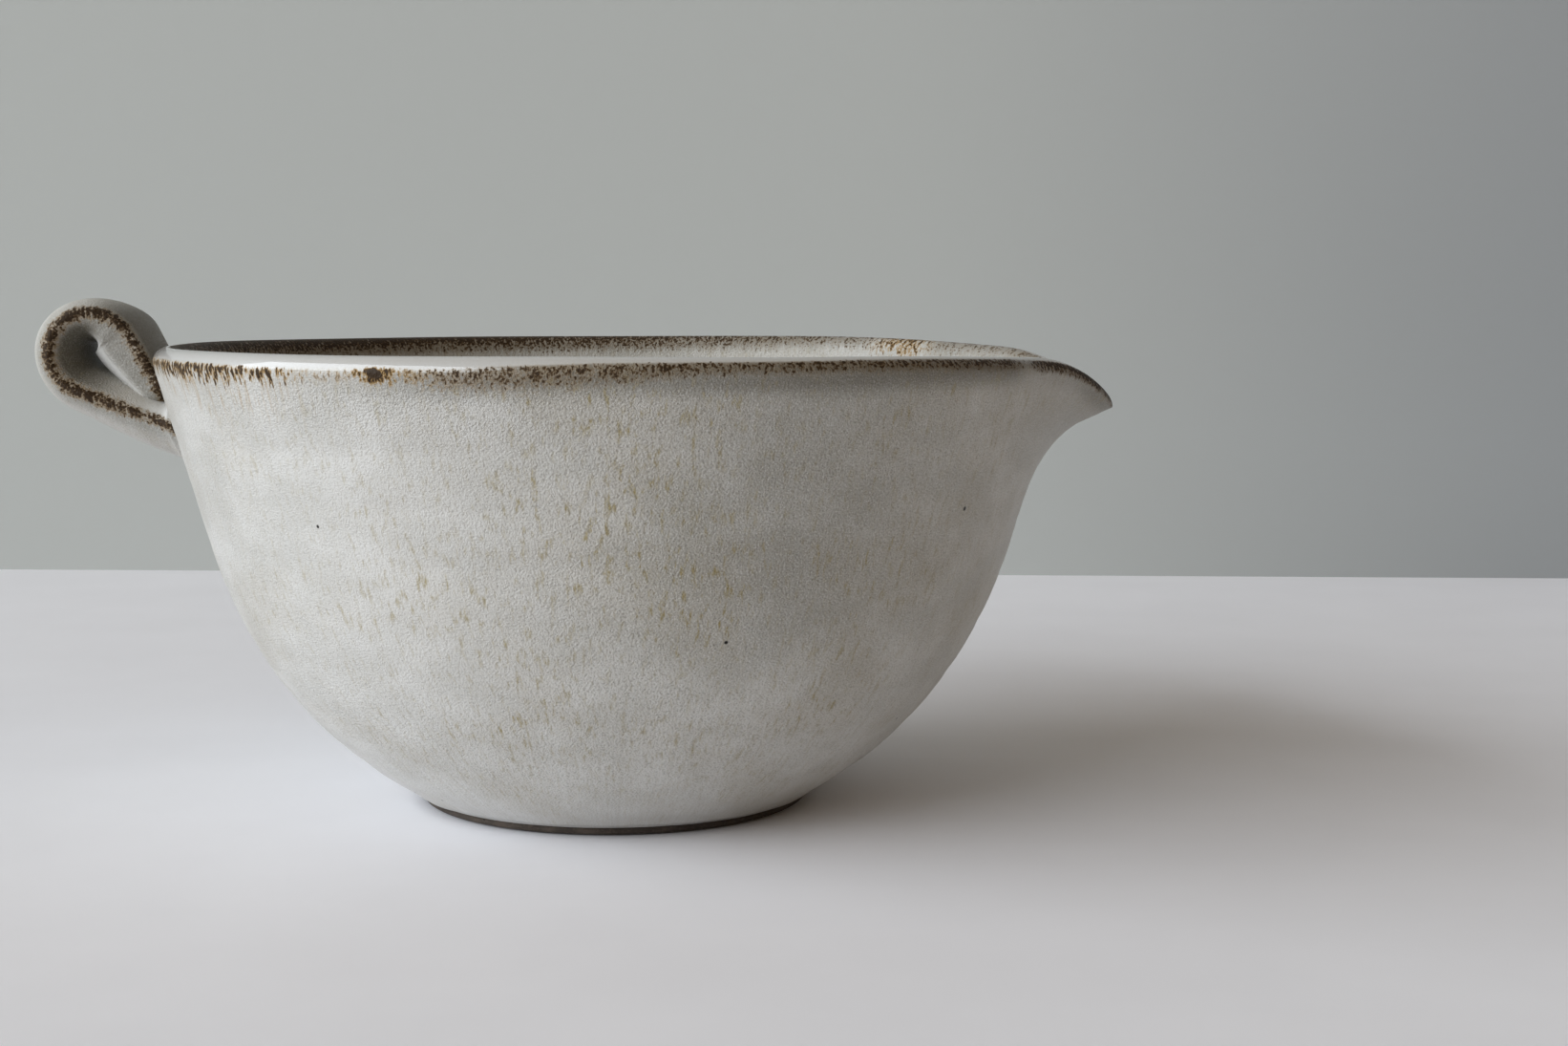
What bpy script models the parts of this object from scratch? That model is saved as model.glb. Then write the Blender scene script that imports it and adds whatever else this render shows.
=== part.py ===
"""Stoneware pouring bowl: a thrown bowl with a pulled spout, a strap loop handle and a bare foot ring.

Metres, +Z up. The spout points along +X and the handle along -X. The bowl stands on z = 0, and the
middle of the whole outline is over the origin.
"""
import math

import bmesh
import bpy

# Fits between pieces
SEAT_GAP = 0.0003
MERGE_DISTANCE = 1e-6

# Thrown bowl
RIM_RADIUS = 0.0678
RIM_HEIGHT = 0.0690
WALL_THICKNESS = 0.0042
WALL_FLARE = math.radians(16.0)
BELLY_HEIGHT = 0.0400
BELLY_FULLNESS = 0.35
FOOT_SPLAY = math.radians(28.0)
GLAZE_LINE = 0.0013
EDGE_LAND = 0.0007
FLOOR_THICKNESS = 0.0050
HOLLOW_WALL_FULLNESS = 0.42
HOLLOW_FLOOR_FULLNESS = 0.60

# Foot ring
FOOT_RADIUS = 0.0292
FOOT_WIDTH = 0.0055
FOOT_HEIGHT = 0.0042
FOOT_ROUNDING = 0.0006

# Spout, pulled from the wall
SPOUT_REACH = 0.0075
SPOUT_DROP = 0.0060
SPOUT_DEPTH = 0.0230
SPOUT_HALF_ANGLE = math.radians(27.0)
SPOUT_REACH_CURL = 2.6
SPOUT_DROP_CURL = 2.1
SPOUT_DROP_SHARPNESS = 1.9
SHOULDER_DIP = 0.0012
SHOULDER_HALF_ANGLE = math.radians(60.0)

# Strap handle
LOOP_RADIUS = 0.0060
LOOP_DROP = 0.0014
TAIL_DEPTH = 0.0080
ARM_CLEARANCE = 0.0018
STRAP_TAIL_WIDTH = 0.0140
STRAP_ROOT_WIDTH = 0.0220
STRAP_INNER_CROWN = 0.0015
STRAP_TAIL_CROWN = 0.0011
STRAP_BACK_CROWN = 0.0042
STRAP_ROOT_CROWN = 0.0060
SWELL_START = math.radians(60.0)
SWELL_SPAN = math.radians(120.0)
ARM_FILL = 0.0058
LOOP_FILL = 0.0034
FILL_EASE_END = math.radians(165.0)

# Luting slip under the two ends of the strap
TAIL_SLIP_THICKNESS = 0.0007
TAIL_SLIP_MARGIN = 0.0015
TAIL_SLIP_INSET = 0.0005
ROOT_SLIP_THICKNESS = 0.0014
ROOT_SLIP_FLARE = 1.25
ROOT_SLIP_WALL_RINGS = (1.0, 0.7, 0.35)

# Faceting
TURN_STEPS = 80
CURVE_STEPS = 9
WALL_STEPS = 5
LIP_STEPS = 12
ROUNDING_STEPS = 3
SECTION_STEPS = 20
LOOP_STEPS = 20
ARM_STEPS = 4
SLIP_STEPS = 6
SHARP_ANGLE = math.radians(40.0)

# Finishes: linear base colour, roughness
GLAZE_FINISH = ((0.55, 0.54, 0.50, 1.0), 0.38)
STRAP_FINISH = ((0.42, 0.40, 0.34, 1.0), 0.38)
SLIP_FINISH = ((0.30, 0.26, 0.20, 1.0), 0.55)
BARE_CLAY_FINISH = ((0.060, 0.045, 0.034, 1.0), 0.85)

# Sizes that follow from those above
LIP_RADIUS = WALL_THICKNESS / 2
LIP_CENTRE_RADIUS = RIM_RADIUS - LIP_RADIUS
LIP_CENTRE_HEIGHT = RIM_HEIGHT - LIP_RADIUS
LIP_START_HEIGHT = LIP_CENTRE_HEIGHT - LIP_RADIUS * math.sin(WALL_FLARE)
SEAT_RADIUS = FOOT_RADIUS + SEAT_GAP
SEAT_HEIGHT = FOOT_HEIGHT + SEAT_GAP
FLOOR_HEIGHT = SEAT_HEIGHT + FLOOR_THICKNESS
SPOUT_ROOT_HEIGHT = LIP_CENTRE_HEIGHT - SPOUT_DEPTH
TAIL_STANDOFF = STRAP_TAIL_CROWN + TAIL_SLIP_THICKNESS + 2 * SEAT_GAP
TAIL_SLIP_WIDTH = STRAP_TAIL_WIDTH - 2 * TAIL_SLIP_MARGIN
ROOT_DEPTH = TAIL_DEPTH + ARM_CLEARANCE + STRAP_INNER_CROWN * ROOT_SLIP_FLARE
ROOT_STANDOFF = ROOT_SLIP_THICKNESS + 2 * SEAT_GAP

# Directions in the handle's plane, as (x, z): up the wall, and straight into it
WALL_UP = (-math.sin(WALL_FLARE), math.cos(WALL_FLARE))
WALL_IN = (math.cos(WALL_FLARE), math.sin(WALL_FLARE))


def clear_scene():
    """Remove every object that the scene starts with."""
    for obj in list(bpy.data.objects):
        bpy.data.objects.remove(obj, do_unlink=True)


def make_material(name, finish):
    """Return a plain material with the finish's base colour and roughness."""
    colour, roughness = finish
    material = bpy.data.materials.new(name)
    material.use_nodes = True
    shader = material.node_tree.nodes["Principled BSDF"]
    shader.inputs["Base Color"].default_value = colour
    shader.inputs["Roughness"].default_value = roughness
    shader.inputs["Metallic"].default_value = 0.0
    return material


def make_object(name, bm, finish, parent):
    """Turn a finished mesh into a named, smooth-shaded object under its parent."""
    bmesh.ops.recalc_face_normals(bm, faces=bm.faces)
    mesh = bpy.data.meshes.new(name)
    bm.to_mesh(mesh)
    bm.free()
    mesh.shade_smooth()
    mesh.set_sharp_from_angle(angle=SHARP_ANGLE)
    mesh.materials.append(make_material(f"{name}_finish", finish))
    obj = bpy.data.objects.new(name, mesh)
    bpy.context.collection.objects.link(obj)
    obj.parent = parent
    return obj


def along(start, direction, distance):
    """Return the point at a distance from start along a direction, in a plane."""
    return (start[0] + direction[0] * distance, start[1] + direction[1] * distance)


def between(start, end, share):
    """Return the point a share of the way from start to end, in a plane."""
    return tuple(a + (b - a) * share for a, b in zip(start, end))


def cubic(start, start_pull, end_pull, end, share):
    """Return a point on the cubic curve with these two ends and two pulls."""
    rest = 1.0 - share
    weights = (rest ** 3, 3 * rest ** 2 * share, 3 * rest * share ** 2, share ** 3)
    points = (start, start_pull, end_pull, end)
    return tuple(sum(w * p[axis] for w, p in zip(weights, points)) for axis in (0, 1))


def outer_radius(height):
    """Return the radius of the outside of the upper wall at a height."""
    lip_start_radius = LIP_CENTRE_RADIUS + LIP_RADIUS * math.cos(WALL_FLARE)
    return lip_start_radius - (LIP_START_HEIGHT - height) * math.tan(WALL_FLARE)


def hollow_profile():
    """Return (radius, height) points up the inside, from the floor's middle to the lip."""
    lip_end = (LIP_CENTRE_RADIUS - LIP_RADIUS * math.cos(WALL_FLARE),
               LIP_CENTRE_HEIGHT + LIP_RADIUS * math.sin(WALL_FLARE))
    belly = (lip_end[0] - (lip_end[1] - BELLY_HEIGHT) * math.tan(WALL_FLARE), BELLY_HEIGHT)
    middle = (0.0, FLOOR_HEIGHT)
    span = math.dist(middle, belly)
    floor_pull = (span * HOLLOW_FLOOR_FULLNESS, FLOOR_HEIGHT)
    wall_pull = (belly[0] - math.sin(WALL_FLARE) * span * HOLLOW_WALL_FULLNESS,
                 belly[1] - math.cos(WALL_FLARE) * span * HOLLOW_WALL_FULLNESS)
    curve = [cubic(middle, floor_pull, wall_pull, belly, i / CURVE_STEPS) for i in range(CURVE_STEPS)]
    wall = [between(belly, lip_end, i / WALL_STEPS) for i in range(WALL_STEPS)]
    return curve + wall


def lip_profile():
    """Return points over the half-round lip, from the inside to the outside."""
    points = []
    for i in range(LIP_STEPS + 1):
        angle = math.pi - WALL_FLARE - math.pi * i / LIP_STEPS
        points.append((LIP_CENTRE_RADIUS + LIP_RADIUS * math.cos(angle),
                       LIP_CENTRE_HEIGHT + LIP_RADIUS * math.sin(angle)))
    return points


def outside_profile():
    """Return points down the outside, from under the lip to the middle of the foot's seat."""
    lip_start = (outer_radius(LIP_START_HEIGHT), LIP_START_HEIGHT)
    belly = (outer_radius(BELLY_HEIGHT), BELLY_HEIGHT)
    edge = (SEAT_RADIUS + EDGE_LAND, GLAZE_LINE)
    pull = math.dist(belly, edge) * BELLY_FULLNESS
    belly_pull = (belly[0] - math.sin(WALL_FLARE) * pull, belly[1] - math.cos(WALL_FLARE) * pull)
    edge_pull = (edge[0] + math.cos(FOOT_SPLAY) * pull, edge[1] + math.sin(FOOT_SPLAY) * pull)
    wall = [between(lip_start, belly, i / WALL_STEPS) for i in range(1, WALL_STEPS)]
    curve = [cubic(belly, belly_pull, edge_pull, edge, i / CURVE_STEPS) for i in range(CURVE_STEPS + 1)]
    seat = [(SEAT_RADIUS, GLAZE_LINE), (SEAT_RADIUS, SEAT_HEIGHT), (0.0, SEAT_HEIGHT)]
    return wall + curve + seat


def turn(profile, closed):
    """Spin a profile of (radius, height) points about the upright axis into one closed body."""
    bm = bmesh.new()
    verts = [bm.verts.new((radius, 0.0, height)) for radius, height in profile]
    edges = [bm.edges.new(pair) for pair in zip(verts, verts[1:])]
    if closed:
        edges.append(bm.edges.new((verts[-1], verts[0])))
    bmesh.ops.spin(bm, geom=verts + edges, cent=(0.0, 0.0, 0.0), axis=(0.0, 0.0, 1.0),
                   angle=2 * math.pi, steps=TURN_STEPS, use_merge=True)
    bmesh.ops.remove_doubles(bm, verts=bm.verts, dist=MERGE_DISTANCE)
    return bm


def bell(angle, half_angle):
    """Return 1 straight ahead, easing to 0 at the half angle on either side."""
    return max(1.0 - (angle / half_angle) ** 2, 0.0) ** 2


def pull_spout(bm):
    """Draw the upper wall on the +X side outward and down, most at the lip, with dipped shoulders."""
    for vert in bm.verts:
        rise = (vert.co.z - SPOUT_ROOT_HEIGHT) / SPOUT_DEPTH
        if rise <= 0.0:
            continue
        rise = min(rise, 1.0)
        angle = math.atan2(vert.co.y, vert.co.x)
        pull = bell(angle, SPOUT_HALF_ANGLE)
        out = SPOUT_REACH * pull * rise ** SPOUT_REACH_CURL
        drop = SPOUT_DROP * pull ** SPOUT_DROP_SHARPNESS + SHOULDER_DIP * bell(angle, SHOULDER_HALF_ANGLE)
        vert.co.x += out * math.cos(angle)
        vert.co.y += out * math.sin(angle)
        vert.co.z -= drop * rise ** SPOUT_DROP_CURL


def make_thrown_bowl(parent):
    """Floor, wall, rim and spout, in one piece of clay."""
    bm = turn(hollow_profile() + lip_profile() + outside_profile(), closed=False)
    pull_spout(bm)
    return make_object("thrown_bowl", bm, GLAZE_FINISH, parent)


def make_foot_ring(parent):
    """Bare ring that the bowl stands on, seated in the recess under the floor."""
    inner = FOOT_RADIUS - FOOT_WIDTH
    profile = [(FOOT_RADIUS, FOOT_HEIGHT), (inner, FOOT_HEIGHT)]
    for centre, start in ((inner + FOOT_ROUNDING, math.pi), (FOOT_RADIUS - FOOT_ROUNDING, 1.5 * math.pi)):
        for i in range(ROUNDING_STEPS + 1):
            angle = start + 0.5 * math.pi * i / ROUNDING_STEPS
            profile.append((centre + FOOT_ROUNDING * math.cos(angle),
                            FOOT_ROUNDING + FOOT_ROUNDING * math.sin(angle)))
    return make_object("foot_ring", turn(profile, closed=True), BARE_CLAY_FINISH, parent)


def wall_line(height):
    """Return the (x, z) point of the wall's outside on the handle's side."""
    return (-outer_radius(height), height)


def wall_seat(point, across):
    """Return the point one gap off the round wall, abreast of a point on the wall's line."""
    line_x = -math.sqrt(point[0] ** 2 - across ** 2)
    x, z = along((line_x, point[1]), WALL_IN, -SEAT_GAP)
    return (x, across, z)


def loop_centre():
    """Return the loop's middle, placed so that its upper arm runs along the wall at its standoff."""
    height = RIM_HEIGHT - LOOP_DROP
    beside = wall_line(height)
    return (beside[0] - (TAIL_STANDOFF + LOOP_RADIUS) / math.cos(WALL_FLARE), height)


def smooth_step(share):
    """Ease from 0 to 1 with level ends."""
    share = min(max(share, 0.0), 1.0)
    return share * share * (3.0 - 2.0 * share)


def strap_path():
    """Return stations from the tail to the root: middle point, outward angle, outer and inner crown."""
    centre = loop_centre()
    loop_start = along(centre, WALL_IN, LOOP_RADIUS)
    tail_length = (loop_start[1] - (RIM_HEIGHT - TAIL_DEPTH)) / WALL_UP[1]
    tail = along(loop_start, WALL_UP, -tail_length)
    root = along(wall_line(RIM_HEIGHT - ROOT_DEPTH), WALL_IN, -ROOT_STANDOFF)
    to_root = math.atan2(root[1] - centre[1], root[0] - centre[0])
    loop_end_angle = to_root - math.acos(LOOP_RADIUS / math.dist(root, centre)) + 2 * math.pi
    loop_end = (centre[0] + LOOP_RADIUS * math.cos(loop_end_angle),
                centre[1] + LOOP_RADIUS * math.sin(loop_end_angle))
    root_angle = 1.5 * math.pi + WALL_FLARE

    stations = []
    for i in range(ARM_STEPS):
        share = i / ARM_STEPS
        inner = STRAP_INNER_CROWN + (ARM_FILL - STRAP_INNER_CROWN) * smooth_step(share)
        stations.append((between(tail, loop_start, share), WALL_FLARE, STRAP_TAIL_CROWN, inner))
    for i in range(LOOP_STEPS + 1):
        angle = WALL_FLARE + (loop_end_angle - WALL_FLARE) * i / LOOP_STEPS
        swell = smooth_step((angle - SWELL_START) / SWELL_SPAN)
        outer = STRAP_TAIL_CROWN + (STRAP_BACK_CROWN - STRAP_TAIL_CROWN) * swell
        ease = smooth_step((angle - WALL_FLARE) / (FILL_EASE_END - WALL_FLARE))
        inner = ARM_FILL + (LOOP_FILL - ARM_FILL) * ease
        point = (centre[0] + LOOP_RADIUS * math.cos(angle), centre[1] + LOOP_RADIUS * math.sin(angle))
        stations.append((point, angle, outer, inner))
    for i in range(1, ARM_STEPS + 1):
        share = i / ARM_STEPS
        angle = loop_end_angle + (root_angle - loop_end_angle) * share
        ease = smooth_step(share)
        outer = STRAP_BACK_CROWN + (STRAP_ROOT_CROWN - STRAP_BACK_CROWN) * ease
        inner = LOOP_FILL + (STRAP_INNER_CROWN - LOOP_FILL) * ease
        stations.append((between(loop_end, root, share), angle, outer, inner))
    return stations


def strap_section(width, outer_crown, inner_crown):
    """Return (across, outward) points round the strap's section, from its two crowns."""
    points = []
    for i in range(SECTION_STEPS):
        angle = 2 * math.pi * i / SECTION_STEPS
        crown = outer_crown if math.sin(angle) > 0.0 else inner_crown
        points.append((0.5 * width * math.cos(angle), crown * math.sin(angle)))
    return points


def skin(rings):
    """Join equal rings of points into a closed body, with a flat cap on each end."""
    bm = bmesh.new()
    loops = [[bm.verts.new(point) for point in ring] for ring in rings]
    for near, far in zip(loops, loops[1:]):
        for i in range(len(near)):
            bm.faces.new((near[i - 1], near[i], far[i], far[i - 1]))
    bm.faces.new(loops[0])
    bm.faces.new(loops[-1])
    return bm


def make_handle_strap(parent):
    """Strap curled into a loop: a thin tail laid on the wall, a full back, a thick root, a small eye."""
    stations = strap_path()
    rings = []
    for number, (middle, angle, outer, inner) in enumerate(stations):
        share = number / (len(stations) - 1)
        width = STRAP_TAIL_WIDTH + (STRAP_ROOT_WIDTH - STRAP_TAIL_WIDTH) * share
        outward = (math.cos(angle), math.sin(angle))
        ring = []
        for across, rise in strap_section(width, outer, inner):
            x, z = along(middle, outward, rise)
            ring.append((x, across, z))
        rings.append(ring)
    return make_object("handle_strap", skin(rings), STRAP_FINISH, parent)


def make_tail_slip(parent):
    """Slip that fills the space between the strap's tail and the wall, under the lip."""
    tail = strap_path()[0][0]
    lip_start = wall_line(LIP_START_HEIGHT)
    beside_lip = along(lip_start, WALL_IN, -TAIL_STANDOFF)
    length = math.dist(tail, beside_lip) - 2 * TAIL_SLIP_INSET
    start = along(tail, WALL_UP, TAIL_SLIP_INSET)

    rings = []
    for i in range(SLIP_STEPS + 1):
        across = TAIL_SLIP_WIDTH * (i / SLIP_STEPS - 0.5)
        crown = STRAP_TAIL_CROWN * math.sqrt(1.0 - (2 * across / STRAP_TAIL_WIDTH) ** 2)
        ring = []
        for rise in (0.0, 0.5 * length, length):
            middle = along(start, WALL_UP, rise)
            x, z = along(middle, WALL_IN, crown + SEAT_GAP)
            ring.append((x, across, z))
        for rise in (length, 0.5 * length, 0.0):
            on_wall = along(along(start, WALL_UP, rise), WALL_IN, TAIL_STANDOFF)
            ring.append(wall_seat(on_wall, across))
        rings.append(ring)
    return make_object("upper_luting_slip", skin(rings), SLIP_FINISH, parent)


def make_root_slip(parent):
    """Slip collar that flares from the strap's thick root onto the wall."""
    root = strap_path()[-1][0]
    section = strap_section(STRAP_ROOT_WIDTH, STRAP_ROOT_CROWN, STRAP_INNER_CROWN)
    face = along(root, WALL_IN, SEAT_GAP)
    on_wall = along(root, WALL_IN, ROOT_STANDOFF)

    near = []
    for across, rise in section:
        x, z = along(face, WALL_UP, -rise)
        near.append((x, across, z))
    rings = [near]
    for spread in ROOT_SLIP_WALL_RINGS:
        scale = ROOT_SLIP_FLARE * spread
        rings.append([wall_seat(along(on_wall, WALL_UP, -rise * scale), across * scale)
                      for across, rise in section])
    return make_object("lower_luting_slip", skin(rings), SLIP_FINISH, parent)


def axis_offset():
    """Return how far the bowl's axis stands from the middle of the whole outline."""
    handle_reach = max(-middle[0] - outer * math.cos(angle) for middle, angle, outer, _ in strap_path())
    spout_reach = RIM_RADIUS + SPOUT_REACH
    return 0.5 * (handle_reach - spout_reach)


def main():
    """Build the bowl from its five pieces."""
    clear_scene()
    axis = bpy.data.objects.new("bowl_axis", None)
    axis.location = (axis_offset(), 0.0, 0.0)
    bpy.context.collection.objects.link(axis)
    for make_piece in (make_thrown_bowl, make_foot_ring, make_handle_strap, make_tail_slip, make_root_slip):
        make_piece(axis)
    bpy.context.view_layer.update()


main()
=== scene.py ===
"""Looks of a stoneware pouring bowl: thrown bowl, turned foot and pulled strap handle, glazed and fired.

Laid out as an add-on and run as a script. Metres, +Z up. The spout points along +X and the handle along -X.
Lengths inside materials, and in the surface attributes that they read, are millimetres.
"""
import math

import bpy
import numpy as np
from bpy.props import FloatProperty, FloatVectorProperty, PointerProperty
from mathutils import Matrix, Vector


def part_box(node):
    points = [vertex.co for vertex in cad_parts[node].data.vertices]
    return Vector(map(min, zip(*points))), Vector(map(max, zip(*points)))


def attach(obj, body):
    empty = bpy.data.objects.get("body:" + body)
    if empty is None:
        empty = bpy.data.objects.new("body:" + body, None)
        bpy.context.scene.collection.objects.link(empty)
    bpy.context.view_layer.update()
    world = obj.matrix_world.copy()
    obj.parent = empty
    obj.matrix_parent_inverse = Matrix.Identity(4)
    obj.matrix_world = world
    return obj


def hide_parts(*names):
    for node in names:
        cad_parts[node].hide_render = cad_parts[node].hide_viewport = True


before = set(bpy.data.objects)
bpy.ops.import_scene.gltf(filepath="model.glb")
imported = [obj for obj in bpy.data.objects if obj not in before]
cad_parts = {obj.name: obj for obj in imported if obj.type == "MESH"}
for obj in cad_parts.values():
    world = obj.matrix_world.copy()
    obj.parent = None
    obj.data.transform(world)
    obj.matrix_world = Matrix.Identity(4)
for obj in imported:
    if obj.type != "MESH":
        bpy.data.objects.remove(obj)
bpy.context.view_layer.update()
BODY = "root"

bl_info = {
    "name": "Stoneware pouring bowl",
    "version": (1, 0, 0),
    "blender": (4, 5, 0),
    "location": "3D View > Sidebar > Stoneware",
    "description": "Shapes, glazes and lights a thrown bowl with a pulled spout and a strap handle",
    "category": "Add Mesh",
}

# Places read from the frame
BOWL_LOW, BOWL_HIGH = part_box("thrown_bowl")
FOOT_LOW, FOOT_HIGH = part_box("foot_ring")
STRAP_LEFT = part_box("handle_strap")[0].x
AXIS_X = (FOOT_LOW.x + FOOT_HIGH.x) / 2
RIM_RADIUS = (BOWL_HIGH.y - BOWL_LOW.y) / 2
RIM_HEIGHT = BOWL_HIGH.z
FOOT_RADIUS = (FOOT_HIGH.y - FOOT_LOW.y) / 2

# Millimetres in a metre
MM = 1000.0

# How far the foot's clay stands out past the part's ring
FOOT_PROUD = 0.00022

# Fineness of the surfaces
TURN_COLUMNS = 400
HOLLOW_ROWS = 58
WALL_ROWS = 40
LIP_ROWS = 32
BELLY_ROWS = 58
EDGE_ROWS = 10
FOOT_COLUMNS = 240
RECESS_ROWS = 60
STRAP_ROWS = 220
STRAP_COLUMNS = 128
LOOP_POINTS = 400
RUN_POINTS = 100

# Waves as (whole multiple, share, phase)
RING_WAVES = ((1, 0.55, 0.0), (2, 0.30, 1.3), (3, 0.20, 2.9))
RIM_WAVES = ((2, 0.55, 0.9), (3, 0.30, -0.4), (7, 0.15, 0.0))
ROUND_WAVES = ((2, 0.65, 2.2), (3, 0.35, 0.5))
GLAZE_EDGE_WAVES = ((3, 0.5, 1.0), (8, 0.3, 0.3), (19, 0.2, 2.0))
STRAP_WAVES = ((3, 0.5, 0.6), (7, 0.3, 2.0), (13, 0.2, 4.0))

# Finger marks over the foot: how many, how high, how far that varies, and half their width and height
MARK_COUNT = 11
MARK_HEIGHT = 0.0065
MARK_SPREAD = 0.0020
MARK_HALF_WIDTH = 0.0035
MARK_HALF_HEIGHT = 0.0060

# How far a mark is out of step, and the uneven multiples that vary its place, height, slant and depth
MARK_DRIFT = 0.35
MARK_BEATS = (5.0, 3.7, 2.3, 1.9)

# Height of the bowl's rolled glaze edge
ROLL_HEIGHT = 0.0022

# Lengths in which the throwing rings set in below the lip, and die out over the foot and on the floor
RING_START = (0.003, 0.012)
RING_FOOT = 0.012
RING_FLOOR = 0.015

# Share of the rim's height from which the rim's wander grows
WANDER_START = 0.4

# Lengths in which the turning lines under the foot set in beside the ring and about the axis
GROOVE_START = 0.003
GROOVE_MIDDLE = 0.004

# How far the strap's edge wanders, and how sharp its section comes to it: 1 is an ellipse, 2 a pointed lens
STRAP_WANDER = 0.0002
OUTER_POWER = 1.15
LOOP_POWER = 1.5
ARM_POWER = 0.45
CORNER_POWER = 0.40

# Share of its length in which the strap widens, the width left at its tip, and how much of the flare at its
# root goes across and inwards
WIDEN_SHARE = 0.7
TIP_WIDTH = 0.6
FLARE_ACROSS = 0.8
FLARE_INWARDS = 0.5

# Turns of the strap from level: where its outer face starts to swell and is full, where the loop's inner face
# is full, and where the painted shade on the tail's outer face starts to end and has ended
SWELL_START = math.radians(60.0)
SWELL_END = math.radians(180.0)
LOOP_FULL = math.radians(165.0)
TAIL_LAST = math.radians(50.0)
TAIL_GONE = math.radians(105.0)

# How strongly the glaze breaks along the strap's ridge, how far that varies, and its shares of dabs and iron
STRAP_BREAK = 0.80
STRAP_BREAK_SWING = 0.15
STRAP_DRIPS = 0.30
STRAP_IRON = 0.4

# Painted shade, laid on as thinner and darker glaze, in the loop, on the outer face of the strap's tail and
# on the near face of its upper arm; and how much darker it is beside the ridge on the outer face of the loop
LOOP_PAINTED_SHADE = 1.0
TAIL_PAINTED_SHADE = 0.9
ARM_PAINTED_SHADE = 0.50
UNDER_DARKER = 0.45

# Painted light, laid on as thicker and paler glaze, where the upper arm turns into the loop's corner
CORNER_PAINTED_LIGHT = 0.9

# Shares of the inner swell at which the arm's painted shade ends and the corner's painted light begins
ARM_END = (0.66, 0.50)
CORNER_START = (0.58, 0.72)

# Share of the way into the loop at which its painted shade sets in and is full
LOOP_START = (0.15, 0.7)

# Lengths from here to the tables of the break are millimetres.

# How far each glaze's break reaches past its edge and starts before it, and how strong its iron runs are
BOWL_GLAZE = {"reach": 2.4, "lead": 0.5, "runs": 0.95}
HANDLE_GLAZE = {"reach": 2.1, "lead": 0.4, "runs": 0.40}

# Distances from the strap's ridge: where its painted shade is full, and where the loop's outer face stops
# being darker
RIDGE_FULL = 2.5
UNDER_END = (5.0, 1.2)

# Sizes across and down in a broken edge
DAB_SIZE = (0.58, 1.35)
DOT_SIZE = (0.40, 0.40)
STREAK_SIZE = (0.55, 5.0)

# How much further the glaze breaks inside the rim than outside; the wider break inside also serves as painted
# shade on the inner wall
INNER_STRETCH = 2.4

# Where the glaze's flow down the inside has turned from the rim's circle to the true one, and starts to turn
FLOW_TRUE = 50.0
FLOW_RIM = 20.0

# Spans of thinner glaze: where it starts, is full, is full for the last time and is gone. Outside the rim
# they are counted from the break, and inside it from the lip's top, where they lay painted shade down the
# inner wall
RIM_SPAN = (-0.6, 0.2, 1.82, 5.2)
HOLLOW_SPAN = (0.0, 3.0, 8.0, 40.0)

# Patches outside: (amount, degrees from the spout, half width in degrees, span down from the lip's top).
# Painted light and shade, laid on as glaze thinness, below 0 for thick: painted light on the window side
# towards the handle, painted shade on the front right and under the spout's tip
PAINTED_LIGHT_PATCHES = (
    (-0.38, -117.0, 46.0, (4.0, 14.0, 40.0, 72.0)),
    (0.30, -64.0, 30.0, (1.5, 5.0, 30.0, 52.0)),
    (0.26, 0.0, 30.0, (1.5, 4.0, 8.0, 16.0)),
)

# Where most iron bleeds through, on top of the share of it elsewhere
IRON_ELSEWHERE = 0.30
IRON_PATCH = (0.70, -84.0, 78.0, (2.0, 6.0, 52.0, 82.0))

# How much further the break's dots lie down the middle of the near side, counted from the break
WIDE_PATCH = (0.9, -94.0, 20.0, (-1.0, 0.0, 4.0, 12.0))

# Where the backdrop starts to dim along +X and is dimmest, and how far that wanders
DIM_START = 60.0
DIM_END = 300.0
DIM_WANDER = 40.0

# Where the glaze breaks brown outside the rim: (degrees from the spout, strength, share of loose dabs,
# start in millimetres from the top of the lip, thinness past the break)
OUTER_BREAK = (
    (-180, 0.58, 1.0, 2.3, 0.0), (-150, 0.66, 1.0, 2.4, 0.0), (-133, 0.64, 1.0, 2.6, 0.0),
    (-127, 0.52, 1.0, 2.6, 0.0), (-124.5, 0.24, 0.9, 2.6, 0.0), (-120, 0.12, 0.7, 2.6, 0.05),
    (-115, 0.14, 0.7, 2.5, 0.1), (-113.6, 0.60, 0.6, 2.4, 0.2), (-112.3, 0.98, 0.5, 2.3, 0.25),
    (-110.8, 0.72, 0.6, 2.3, 0.25), (-109.5, 0.24, 0.5, 2.4, 0.3), (-106.5, 0.38, 0.35, 2.5, 0.42),
    (-104, 0.54, 0.28, 2.5, 0.5), (-98, 0.58, 0.24, 2.1, 0.5), (-88, 0.54, 0.22, 1.6, 0.55),
    (-75, 0.56, 0.18, 1.3, 0.62), (-62, 0.58, 0.15, 1.1, 0.68), (-50, 0.62, 0.12, 0.85, 0.72),
    (-33, 0.74, 0.15, 0.80, 0.7), (-29, 0.35, 0.2, 0.80, 0.35), (-25, 0.85, 0.2, 1.1, 0.28),
    (-12, 0.90, 0.2, 1.2, 0.42), (0, 0.95, 0.2, 1.3, 0.48), (12, 0.90, 0.2, 1.2, 0.42),
    (25, 0.85, 0.2, 1.1, 0.28), (32, 0.6, 0.4, 1.0, 0.4),
    (62, 0.70, 0.6, 1.3, 0.5), (96, 0.48, 1.0, 1.7, 0.2), (130, 0.56, 1.0, 2.0, 0.0),
    (155, 0.46, 1.0, 2.1, 0.0), (180, 0.58, 1.0, 2.1, 0.0),
)
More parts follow.
